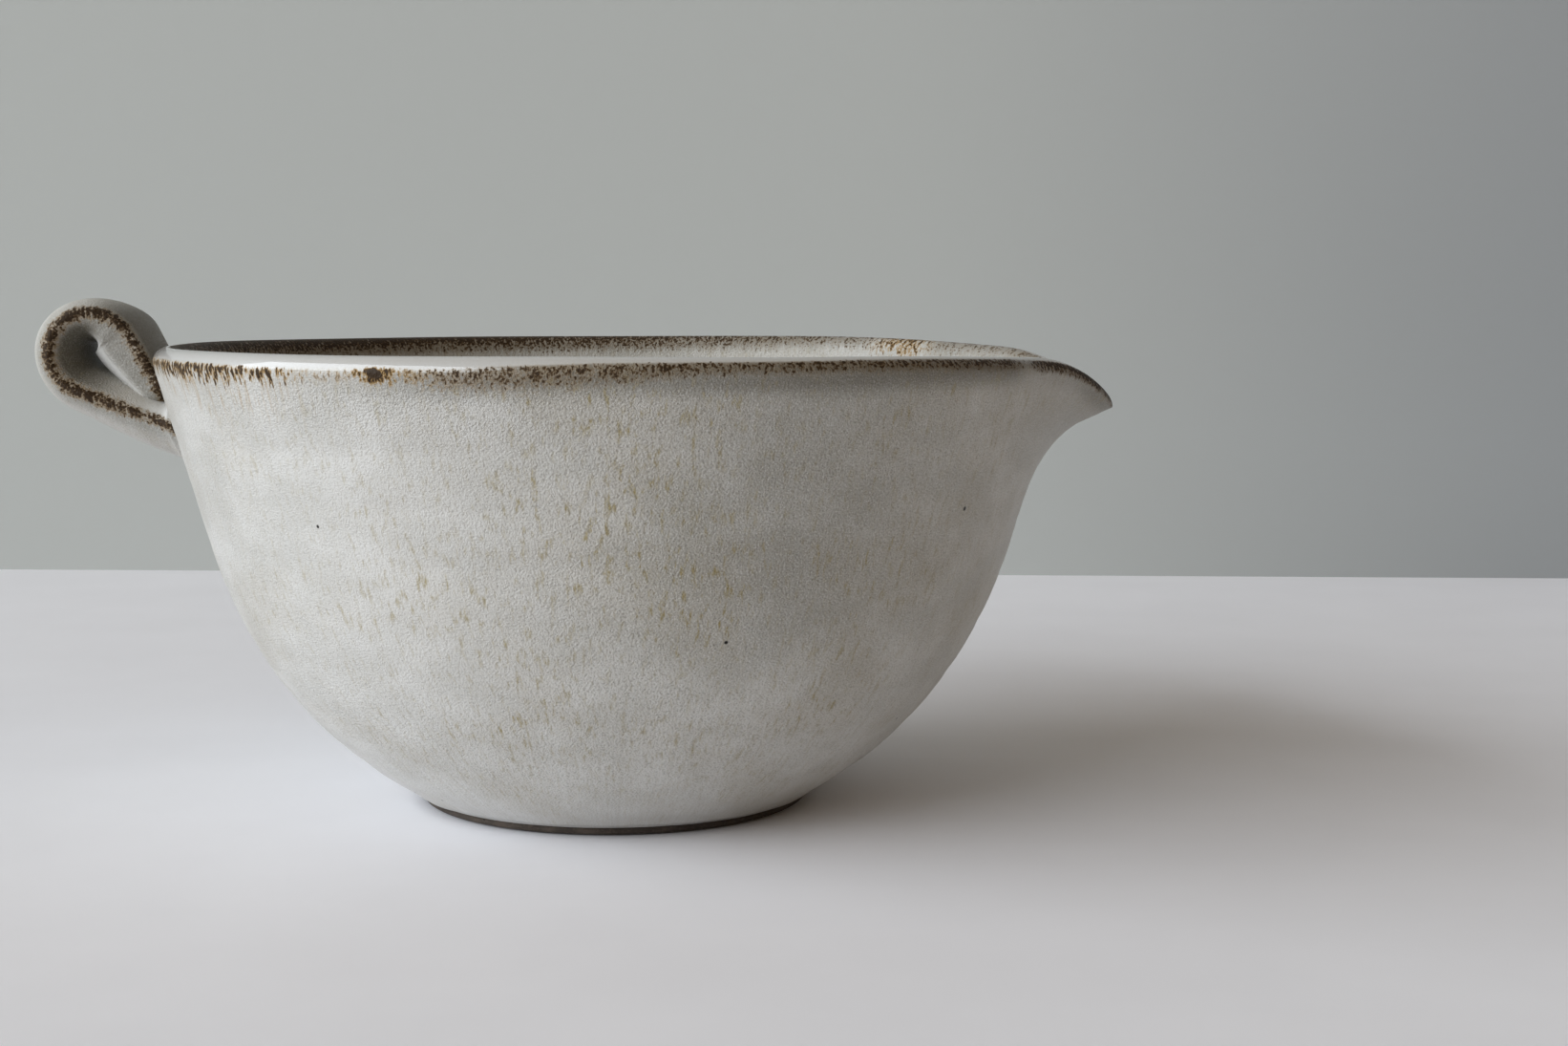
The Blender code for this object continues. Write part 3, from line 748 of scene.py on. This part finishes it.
def handle_surface(handle, bowl):
    """The strap as a function of distance along its line and turn round its section.

    A section is a lens: across = half * cos(turn), out = crown * |sin(turn)|^power. The outer crown swells
    from tail to root. The inner crown is greatest where the upper arm meets the loop, so that the loop is all
    but closed. The tail's tip is rounded off. The root turns along the wall and flares as a quarter circle.
    Also returns the attributes that make_handle names.
    """
    line, turn, run, loop_run, root_run = strap_line(handle, bowl)
    turn, run = turn[:, None], run[:, None]
    section = np.linspace(0.0, 2 * math.pi, STRAP_COLUMNS, endpoint=False)[None, :]
    tip = np.clip(run / handle.tail_round, 0.0, 1.0)
    tip = np.sqrt(tip * (2.0 - tip))
    left = handle.root_flare - np.clip(root_run - run, 0.0, handle.root_flare)
    flare = handle.root_flare - np.sqrt(handle.root_flare ** 2 - left ** 2)
    along_wall = math.pi * 1.5 + bowl.wall_flare
    near_root = smooth(root_run - handle.root_length, root_run, run)
    lean = turn + (along_wall - turn[-1]) * near_root
    swell = smooth(SWELL_START, SWELL_END, turn)
    up_arm = smooth(0.0, loop_run, run)
    into_loop = smooth(turn[0], LOOP_FULL, turn)
    wobble = waves(2 * math.pi * run / root_run, STRAP_WAVES)

    half = 0.5 * blend(handle.tail_width, handle.root_width, smooth(0.0, WIDEN_SHARE * root_run, run))
    half = half * blend(TIP_WIDTH, 1.0, tip) + STRAP_WANDER * wobble + FLARE_ACROSS * flare
    outer = blend(handle.tail_crown, handle.back_crown, swell) * tip + flare
    outer = outer + (handle.root_crown - handle.back_crown) * near_root
    fill = blend(handle.tail_fill, handle.arm_fill, up_arm)
    fill = fill + (handle.loop_fill - handle.arm_fill) * into_loop
    fill = fill + (handle.root_fill - handle.loop_fill) * near_root
    inner = fill * tip + FLARE_INWARDS * flare
    power = blend(CORNER_POWER, ARM_POWER, up_arm) + (LOOP_POWER - ARM_POWER) * into_loop
    across, sine = half * np.cos(section), np.sin(section)
    out = np.where(sine > 0.0, outer * np.abs(sine) ** OUTER_POWER, -inner * np.abs(sine) ** power)
    grid = vectors(AXIS_X + line[:, :1] + out * np.cos(lean), across, line[:, 1:] + out * np.sin(lean))

    ridge = MM * np.hypot(half - np.abs(across), out)
    edge = vectors(ridge, STRAP_BREAK + STRAP_BREAK_SWING * wobble, STRAP_DRIPS)
    flow = vectors(MM * run, 0.1 * MM * across, ridge)
    # Painted shade in the loop and on the tail's outer face; near the root it turns into painted light on the
    # loop's inner flank
    in_loop = smooth(*LOOP_START, into_loop)
    inside = LOOP_PAINTED_SHADE * in_loop * (1.0 - 1.8 * near_root)
    behind = TAIL_PAINTED_SHADE * smooth(TAIL_GONE, TAIL_LAST, turn)
    thin_and_painted_light = np.where(sine > 0.0, behind, inside) * smooth(0.0, RIDGE_FULL, ridge)
    # Painted shade on the upper arm's near face, painted light where it turns into the loop's corner, and
    # darker beside the ridge on the loop's outer face
    deep = ridge / (MM * inner + 0.001)
    arm = ARM_PAINTED_SHADE * smooth(*ARM_END, deep) - CORNER_PAINTED_LIGHT * smooth(*CORNER_START, deep)
    under = UNDER_DARKER * swell * smooth(*UNDER_END, ridge)
    thin_and_painted_light = thin_and_painted_light + np.where(sine > 0.0, under, arm * (1.0 - in_loop))
    return grid, {"edge": edge, "flow": flow, "thin_and_painted_light": thin_and_painted_light, "iron": np.full(thin_and_painted_light.shape, STRAP_IRON)}


def make_handle(handle, bowl, material):
    """Handle piece with the attributes that its glaze reads.

    flow is the distance along the strap, a tenth of the distance across it, and the distance from its ridge.
    edge is the distance from the ridge, and the strength and share of loose dabs there. iron is as on the
    bowl.
    thin_and_painted_light is painted light and shade here: painted shade in the loop, on the tail and on the
    upper arm, darker beside the ridge outside, and painted light at the loop's corner and near the root.
    """
    grid, attributes = handle_surface(handle, bowl)
    capped = [0, *range(STRAP_ROWS), -1]
    attributes = {name: values[capped] for name, values in attributes.items()}
    make_piece("strap_handle_glazed", grid[capped], attributes, material, "handle_glaze",
               "handle_strap", "upper_luting_slip", "lower_luting_slip")


class Bench:
    """Lays and links the nodes of one tree. A value is a number, a colour, a vector or a node's socket."""

    def __init__(self, tree):
        self.tree = tree

    def node(self, kind, **settings):
        """Add a node and set its own options."""
        node = self.tree.nodes.new(kind)
        for name, value in settings.items():
            setattr(node, name, value)
        return node

    def feed(self, socket, value):
        """Link a socket to another, or set its plain value."""
        if isinstance(value, bpy.types.NodeSocket):
            self.tree.links.new(value, socket)
        elif socket.type == "RGBA":
            socket.default_value = (*value, 1.0)
        else:
            socket.default_value = value

    def lay(self, kind, *values, **settings):
        """Add a node, feed its inputs in order and return its outputs."""
        node = self.node(kind, **settings)
        for socket, value in zip(node.inputs, values):
            self.feed(socket, value)
        return node.outputs

    def fill(self, node, **values):
        """Feed a node's inputs by their titles and return its outputs."""
        for title, value in values.items():
            self.feed(node.inputs[title], value)
        return node.outputs

    def math(self, operation, *values, clamp=False):
        """A Math node's result."""
        return self.lay("ShaderNodeMath", *values, operation=operation, use_clamp=clamp)[0]

    def times(self, first, *others):
        """Product of values."""
        for other in others:
            first = self.math("MULTIPLY", first, other)
        return first

    def scaled(self, value, factor, added):
        """A value times a factor, plus another value."""
        return self.math("MULTIPLY_ADD", value, factor, added)

    def ease(self, value, low, high, start=0.0, end=1.0):
        """Smooth step from start at low to end at high."""
        values = (value, low, high, start, end)
        return self.lay("ShaderNodeMapRange", *values, interpolation_type="SMOOTHSTEP")["Result"]

    def mix(self, factor, first, second):
        """Blend of two colours."""
        node = self.node("ShaderNodeMix", data_type="RGBA", clamp_factor=True)
        for number, item in ((0, factor), (6, first), (7, second)):
            self.feed(node.inputs[number], item)
        return node.outputs[2]

    def tint(self, body, mask, amount, shade):
        """A colour with another laid over it by a mask times an amount."""
        return self.mix(self.times(mask, amount), body, shade)

    def parts(self, vector):
        """The three numbers of a vector."""
        return self.lay("ShaderNodeSeparateXYZ", vector)

    def stretch(self, vector, across, down):
        """A vector divided by one length across and another down."""
        sizes = self.lay("ShaderNodeCombineXYZ", across, across, down)[0]
        return self.lay("ShaderNodeVectorMath", vector, sizes, operation="DIVIDE")[0]

    def noise(self, vector, detail=2.0, roughness=0.5):
        """Cloudy noise from 0 to 1."""
        node = self.node("ShaderNodeTexNoise")
        return self.fill(node, Vector=vector, Scale=1.0, Detail=detail, Roughness=roughness)["Fac"]

    def cells(self, vector):
        """Distance to the nearest random point, and that point's random colour."""
        found = self.fill(self.node("ShaderNodeTexVoronoi"), Vector=vector, Scale=1.0)
        return found["Distance"], found["Color"]

    def attribute(self, name):
        """A surface attribute, as its node's outputs."""
        return self.lay("ShaderNodeAttribute", attribute_name=name)

    def group(self, tree, **values):
        """Place a shared effect and feed its inputs."""
        return self.fill(self.node("ShaderNodeGroup", node_tree=tree), **values)

    def millimetres(self):
        """Object coordinates in millimetres."""
        place = self.lay("ShaderNodeTexCoord")["Object"]
        return self.stretch(place, 1.0 / MM, 1.0 / MM)


def start_group(name, places, values, outputs):
    """An empty shared effect with vector inputs, number inputs with their defaults, and number outputs."""
    tree = bpy.data.node_groups.new(name, "ShaderNodeTree")
    for title in places:
        tree.interface.new_socket(title, in_out="INPUT", socket_type="NodeSocketVector")
    for title, default in values.items():
        socket = tree.interface.new_socket(title, in_out="INPUT", socket_type="NodeSocketFloat")
        socket.default_value = default
    for title in outputs:
        tree.interface.new_socket(title, in_out="OUTPUT", socket_type="NodeSocketFloat")
    bench = Bench(tree)
    return bench, bench.node("NodeGroupInput").outputs, bench.node("NodeGroupOutput").inputs


def sugar_grain_group():
    """Fine crystals: round pale grains near random points, and dark pits from the low end of a fine noise."""
    bench, given, ready = start_group("sugar_grain", ["Place"], {"Size": 0.4}, ["Pale", "Dark", "Height"])
    place = bench.stretch(given["Place"], given["Size"], given["Size"])
    fine = bench.noise(place, detail=1.5, roughness=0.6)
    away, _ = bench.cells(place)
    bench.feed(ready["Pale"], bench.ease(away, 0.50, 0.16))
    bench.feed(ready["Dark"], bench.ease(fine, 0.46, 0.30))
    bench.feed(ready["Height"], fine)
    return bench.tree


def glaze_cloud_group():
    """Thick and thin glaze in broad level smudges, and warm patches in which iron shows."""
    bench, given, ready = start_group("glaze_cloud", ["Flow"], {"Size": 14.0}, ["Thick", "Warm"])
    flow, size = given["Flow"], given["Size"]
    thick = bench.noise(bench.stretch(flow, size, bench.times(size, 0.55)), detail=3.0)
    warm = bench.noise(bench.stretch(flow, bench.times(size, 1.7), bench.times(size, 0.9)), detail=4.0)
    bench.feed(ready["Thick"], bench.ease(thick, 0.30, 0.70))
    bench.feed(ready["Warm"], bench.ease(warm, 0.42, 0.64))
    return bench.tree


def glaze_run_group():
    """Marks that the melting glaze drew downhill: short iron runs, and long soft streaks."""
    bench, given, ready = start_group("glaze_run", ["Flow"], {"Width": 0.6, "Length": 2.4}, ["Short", "Long"])
    flow, wide, tall = given["Flow"], given["Width"], given["Length"]
    short = bench.noise(bench.stretch(flow, wide, tall), detail=4.0, roughness=0.62)
    long = bench.noise(bench.stretch(flow, bench.times(wide, 0.8), bench.times(tall, 5.0)))
    bench.feed(ready["Short"], bench.ease(short, 0.50, 0.74))
    bench.feed(ready["Long"], bench.ease(long, 0.35, 0.68))
    return bench.tree


def iron_speck_group():
    """Sparse dark specks: small discs round the random points of a few cells."""
    bench, given, ready = start_group("iron_speck", ["Place"], {"Spacing": 9.0, "Size": 0.4, "Share": 0.3},
                                      ["Speck"])
    distance, tint = bench.cells(bench.stretch(given["Place"], given["Spacing"], given["Spacing"]))
    chance, extent, _ = bench.lay("ShaderNodeSeparateColor", tint)
    chosen = bench.math("LESS_THAN", chance, given["Share"])
    size = bench.times(given["Size"], bench.ease(extent, 0.0, 1.0, 0.5, 1.0))
    disc = bench.ease(bench.times(distance, given["Spacing"]), size, bench.times(size, 0.6))
    bench.feed(ready["Speck"], bench.times(disc, chosen))
    return bench.tree


def edge_break_group():
    """Glaze broken thin over an edge: a haze where it is closed, brown dabs, dark cores and gold fringes.

    Edge holds the distance past the edge, the strength, and the share of loose dabs: 0 is a closed band, 1 is
    dabs that stand apart. The band starts a short lead before the edge and ends at a reach that a streaky
    noise varies. Its level plus the swing of a dab noise and a fine noise is cut at three heights.
    """
    bench, given, ready = start_group("edge_break", ["Flow", "Place", "Edge"], {"Reach": 2.0, "Lead": 0.4},
                                      ["Haze", "Brown", "Core", "Fringe"])
    fall, strength, loose = bench.parts(given["Edge"])
    dab = bench.noise(bench.stretch(given["Flow"], *DAB_SIZE), roughness=0.55)
    fine = bench.noise(bench.stretch(given["Place"], *DOT_SIZE), detail=1.5)
    long = bench.noise(bench.stretch(given["Flow"], *STREAK_SIZE))
    streak = bench.ease(long, 0.34, 0.68, -0.4, 0.6)
    end = bench.times(given["Reach"], bench.scaled(loose, streak, 1.0))
    led = bench.ease(fall, bench.times(given["Lead"], -1.6), bench.times(given["Lead"], 0.2))
    past = bench.times(led, strength)
    band = bench.times(bench.ease(fall, end, 0.0), past)
    swing = bench.times(bench.math("SUBTRACT", dab, 0.5), bench.scaled(loose, 3.0, 0.5))
    dots = bench.times(bench.math("SUBTRACT", fine, 0.5), bench.scaled(loose, -1.1, 1.7))
    level = bench.math("ADD", band, bench.math("ADD", swing, dots))
    there = bench.ease(band, 0.0, 0.22)
    bench.feed(ready["Haze"], bench.times(bench.ease(band, 0.08, 0.45), bench.ease(loose, 0.45, 0.15)))
    bench.feed(ready["Brown"], bench.times(bench.ease(level, 0.40, 0.70), there))
    bench.feed(ready["Core"], bench.times(bench.ease(level, 0.56, 0.80), there))
    halo = bench.times(bench.ease(level, 0.05, 0.50), there)
    tail = bench.times(bench.ease(fall, bench.times(end, 2.6), 0.0), bench.ease(long, 0.50, 0.66),
                       bench.ease(loose, 0.5, 0.9), past)
    golden = bench.math("MAXIMUM", halo, tail)
    bench.feed(ready["Fringe"], bench.times(golden, bench.ease(loose, 0.15, 0.55, 0.15, 1.0)))
    return bench.tree


def shared_effects():
    """The effects that the materials share, made once and then found by name."""
    makers = {"sugar_grain": sugar_grain_group, "glaze_cloud": glaze_cloud_group,
              "glaze_run": glaze_run_group, "iron_speck": iron_speck_group, "edge_break": edge_break_group}
    return {name: bpy.data.node_groups.get(name) or make() for name, make in makers.items()}


def start_material(name):
    """An empty node material with its Principled shader."""
    material = bpy.data.materials.new(name)
    material.use_nodes = True
    bench = Bench(material.node_tree)
    return material, bench, material.node_tree.nodes["Principled BSDF"].inputs


def set_bump(bench, sockets, height, distance, strength):
    """Fine relief from a height."""
    bump = bench.fill(bench.node("ShaderNodeBump"), Strength=strength, Distance=distance, Height=height)
    bench.feed(sockets["Normal"], bump["Normal"])


def glaze_material(name, look, reach, lead, runs):
    """Satin stoneware glaze: clouded grey and white, sugary grain, iron runs, specks and a broken edge."""
    material, bench, sockets = start_material(name)
    effects = shared_effects()
    place = bench.millimetres()
    flow, edge = bench.attribute("flow")["Vector"], bench.attribute("edge")["Vector"]
    thin_and_painted_light, iron = bench.attribute("thin_and_painted_light")["Fac"], bench.attribute("iron")["Fac"]
    fall = bench.parts(edge)[0]
    grain = bench.group(effects["sugar_grain"], Place=place, Size=0.31)
    cloud = bench.group(effects["glaze_cloud"], Flow=flow, Size=12.0)
    run = bench.group(effects["glaze_run"], Flow=flow, Width=0.80, Length=2.3)
    speck = bench.group(effects["iron_speck"], Place=place, Spacing=6.0, Size=0.40, Share=0.45)
    broken = bench.group(effects["edge_break"], Flow=flow, Place=place, Edge=edge, Reach=reach, Lead=lead)

    body = bench.mix(cloud["Thick"], look.grey, look.white)
    body = bench.mix(bench.ease(fall, 30.0, 75.0, 0.0, 0.45), body, look.crystal)
    body = bench.tint(body, cloud["Warm"], 0.30, look.warm)
    body = bench.tint(body, run["Long"], 0.22, look.warm)
    # Thinner glaze goes olive and thicker glaze pale; the same mask carries painted shade, which goes olive,
    # and painted light, which goes pale
    body = bench.mix(thin_and_painted_light, body, look.olive)
    thick = bench.math("MULTIPLY", thin_and_painted_light, -1.0, clamp=True)
    body = bench.mix(thick, body, look.crystal)
    sugar = bench.times(bench.ease(thick, 0.0, 0.6, 1.0, 0.3), bench.ease(iron, 0.2, 1.0, 0.70, 1.05),
                        bench.ease(fall, 66.0, 80.0, 1.0, 0.4))
    pale = bench.times(grain["Pale"], bench.ease(thin_and_painted_light, 0.0, 1.0, 0.42, 0.2))
    body = bench.tint(body, pale, sugar, look.crystal)
    body = bench.tint(body, bench.times(grain["Dark"], 0.45), sugar, look.pit)
    marks = bench.times(run["Short"], bench.scaled(cloud["Warm"], 0.60, 0.45))
    body = bench.tint(body, marks, bench.times(iron, runs), look.ochre)
    body = bench.tint(body, bench.ease(fall, -0.2, -0.8), 0.8, look.lip)
    layers = (("Haze", 0.65, look.haze), ("Fringe", 0.85, look.gold), ("Brown", 0.90, look.brown),
              ("Core", 0.90, look.core))
    for title, amount, shade in layers:
        body = bench.tint(body, broken[title], amount, shade)
    bench.feed(sockets["Base Color"], bench.mix(speck["Speck"], body, look.iron))

    satin = bench.scaled(grain["Height"], 0.16, 0.27)
    bench.feed(sockets["Roughness"], bench.scaled(broken["Brown"], 0.20, satin))
    whole = bench.ease(bench.math("MAXIMUM", broken["Brown"], broken["Fringe"]), 0.1, 0.5, 1.0, 0.0)
    bench.feed(sockets["Coat Weight"], bench.times(bench.ease(fall, 0.9, 0.1), whole))
    sockets["Coat Roughness"].default_value = 0.05
    sockets["Specular IOR Level"].default_value = 0.22
    rough = bench.times(grain["Height"], bench.ease(fall, -0.6, 0.4), sugar)
    height = bench.math("SUBTRACT", rough, bench.times(broken["Brown"], 0.5))
    set_bump(bench, sockets, height, distance=0.00036, strength=0.9)
    return material


def clay_material(name, look):
    """Bare fired clay: dark, gritty, worn pale on its high grains."""
    material, bench, sockets = start_material(name)
    effects = shared_effects()
    place = bench.millimetres()
    grain = bench.group(effects["sugar_grain"], Place=place, Size=0.5)
    grit = bench.group(effects["iron_speck"], Place=place, Spacing=1.3, Size=0.3, Share=0.4)
    patches = bench.noise(bench.stretch(place, 4.0, 2.0), detail=3.0)
    body = bench.mix(bench.ease(patches, 0.40, 0.75, 0.0, 0.6), look.clay, look.clay_pale)
    body = bench.tint(body, grain["Pale"], 0.35, look.clay_pale)
    body = bench.tint(body, grit["Speck"], 0.7, look.iron)
    bench.feed(sockets["Base Color"], body)
    bench.feed(sockets["Roughness"], bench.scaled(grain["Height"], 0.2, 0.70))
    height = bench.math("SUBTRACT", grain["Height"], grit["Speck"])
    set_bump(bench, sockets, height, distance=0.00015, strength=0.7)
    return material


def stage_plane(name, corners, material):
    """A flat four-cornered stage surface."""
    mesh = bpy.data.meshes.new(name)
    mesh.from_pydata(corners, [], [(0, 1, 2, 3)])
    mesh.materials.append(material)
    plane = add_object(name, mesh)


def floor_material(look):
    """Pale floor with a faint cloudy tone."""
    material, bench, sockets = start_material("pale_floor")
    tone = bench.noise(bench.stretch(bench.millimetres(), 30.0, 30.0), detail=3.0)
    shade = [look.floor_shade * part for part in look.floor_colour]
    bench.feed(sockets["Base Color"], bench.mix(tone, shade, look.floor_colour))
    bench.feed(sockets["Roughness"], bench.ease(tone, 0.3, 0.7, 0.85, 0.95))
    sockets["Specular IOR Level"].default_value = 0.1
    return material


def wall_material(look):
    """Plain backdrop, dimmer away from the window, that is seen from its front only."""
    material, bench, sockets = start_material("plain_backdrop")
    place = bench.millimetres()
    tone = bench.noise(bench.stretch(place, 160.0, 160.0), detail=1.0)
    away = bench.scaled(tone, DIM_WANDER, bench.parts(place)[0])
    body = bench.mix(bench.ease(away, DIM_START, DIM_END), look.wall_colour, look.wall_dim)
    bench.feed(sockets["Base Color"], body)
    sockets["Roughness"].default_value = 0.9
    nodes = material.node_tree.nodes
    back = bench.lay("ShaderNodeNewGeometry")["Backfacing"]
    front, clear = nodes["Principled BSDF"].outputs[0], bench.lay("ShaderNodeBsdfTransparent")[0]
    either = bench.lay("ShaderNodeMixShader", back, front, clear)[0]
    bench.feed(nodes["Material Output"].inputs["Surface"], either)
    return material


def add_window(look):
    """Large soft light from the left, as from a window."""
    light = bpy.data.lights.new("soft_window", "AREA")
    light.shape = "RECTANGLE"
    light.size = look.window_width
    light.size_y = look.window_tall
    light.energy = look.window_power
    light.color = look.window_colour
    lamp = add_object("soft_window", light)
    lamp.location = look.window_place
    aim = Vector((0.0, 0.0, RIM_HEIGHT / 2)) - Vector(look.window_place)
    lamp.rotation_euler = aim.to_track_quat("-Z", "Y").to_euler()
    lamp.visible_camera = False


def add_camera(look):
    """Camera in front of the bowl, looking level along +Y and a little down."""
    data = bpy.data.cameras.new("front_camera")
    data.sensor_width = look.sensor
    data.lens = look.lens
    data.clip_start = 0.01
    camera = add_object("front_camera", data)
    camera.location = (AXIS_X + look.camera_right, -look.camera_back, look.camera_height)
    camera.rotation_mode = "ZYX"
    camera.rotation_euler = (math.pi / 2 - look.camera_dip, 0.0, look.camera_roll)
    bpy.context.scene.camera = camera


def add_world(look):
    """Even light from all round, with a pale haze where the camera looks past the backdrop."""
    world = bpy.data.worlds.new("even_light")
    world.use_nodes = True
    bench = Bench(world.node_tree)
    seen = bench.lay("ShaderNodeLightPath")["Is Camera Ray"]
    background = world.node_tree.nodes["Background"].inputs
    bench.feed(background["Color"], bench.mix(seen, look.fill_colour, look.haze_colour))
    bench.feed(background["Strength"], bench.ease(seen, 0.0, 1.0, look.fill, 1.0))
    bpy.context.scene.world = world


class STONEWARE_OT_throw_bowl(bpy.types.Operator):
    """Throw the bowl with its spout, and glaze it."""

    bl_idname = "stoneware.throw_bowl"
    bl_label = "Throw bowl"

    def execute(self, context):
        material = glaze_material("bowl_glaze", context.scene.stoneware_glaze, **BOWL_GLAZE)
        make_bowl(context.scene.stoneware_bowl, material)
        return {"FINISHED"}


class STONEWARE_OT_turn_foot(bpy.types.Operator):
    """Turn the bare foot."""

    bl_idname = "stoneware.turn_foot"
    bl_label = "Turn foot"

    def execute(self, context):
        material = clay_material("bare_clay", context.scene.stoneware_glaze)
        make_foot(context.scene.stoneware_foot, material)
        return {"FINISHED"}


class STONEWARE_OT_pull_handle(bpy.types.Operator):
    """Pull the strap handle, lute it to the wall and glaze it."""

    bl_idname = "stoneware.pull_handle"
    bl_label = "Pull handle"

    def execute(self, context):
        material = glaze_material("handle_glaze", context.scene.stoneware_glaze, **HANDLE_GLAZE)
        make_handle(context.scene.stoneware_handle, context.scene.stoneware_bowl, material)
        return {"FINISHED"}


class STONEWARE_OT_set_stage(bpy.types.Operator):
    """Set the floor, backdrop, lights and camera."""

    bl_idname = "stoneware.set_stage"
    bl_label = "Set stage"

    def execute(self, context):
        look = context.scene.stoneware_stage
        side, back, low, high = look.floor_reach, look.wall_distance, -look.floor_drop, look.wall_top
        floor = [(-side, -side, low), (side, -side, low), (side, side, low), (-side, side, low)]
        wall = [(-side, back, low), (side, back, low), (side, back, high), (-side, back, high)]
        stage_plane("pale_floor", floor, floor_material(look))
        stage_plane("plain_backdrop", wall, wall_material(look))
        add_window(look)
        add_world(look)
        add_camera(look)
        context.scene.view_settings.view_transform = "Standard"
        return {"FINISHED"}


class STONEWARE_PT_bench(bpy.types.Panel):
    """Sidebar panel that lists the sizes and the steps."""

    bl_idname = "STONEWARE_PT_bench"
    bl_label = "Stoneware bowl"
    bl_space_type = "VIEW_3D"
    bl_region_type = "UI"
    bl_category = "Stoneware"

    def draw(self, context):
        layout = self.layout
        for step in STEPS:
            layout.operator(step.bl_idname)
        for name in SETTINGS:
            box = layout.box()
            group = getattr(context.scene, name)
            for prop in group.bl_rna.properties:
                if prop.identifier not in {"rna_type", "name"}:
                    box.prop(group, prop.identifier)


SETTINGS = {
    "stoneware_bowl": BowlSizes,
    "stoneware_foot": FootSizes,
    "stoneware_handle": HandleSizes,
    "stoneware_glaze": GlazeLook,
    "stoneware_stage": StageLook,
}
STEPS = (STONEWARE_OT_throw_bowl, STONEWARE_OT_turn_foot, STONEWARE_OT_pull_handle, STONEWARE_OT_set_stage)
CLASSES = (*SETTINGS.values(), *STEPS, STONEWARE_PT_bench)


def register():
    """Register the classes and hang the settings on the scene."""
    for item in CLASSES:
        bpy.utils.register_class(item)
    for name, group in SETTINGS.items():
        setattr(bpy.types.Scene, name, PointerProperty(type=group))


def unregister():
    """Take the settings and the classes away again."""
    for name in SETTINGS:
        delattr(bpy.types.Scene, name)
    for item in reversed(CLASSES):
        bpy.utils.unregister_class(item)


def main():
    """Run every step in order."""
    register()
    bpy.ops.stoneware.throw_bowl()
    bpy.ops.stoneware.turn_foot()
    bpy.ops.stoneware.pull_handle()
    bpy.ops.stoneware.set_stage()


if __name__ == "__main__":
    main()
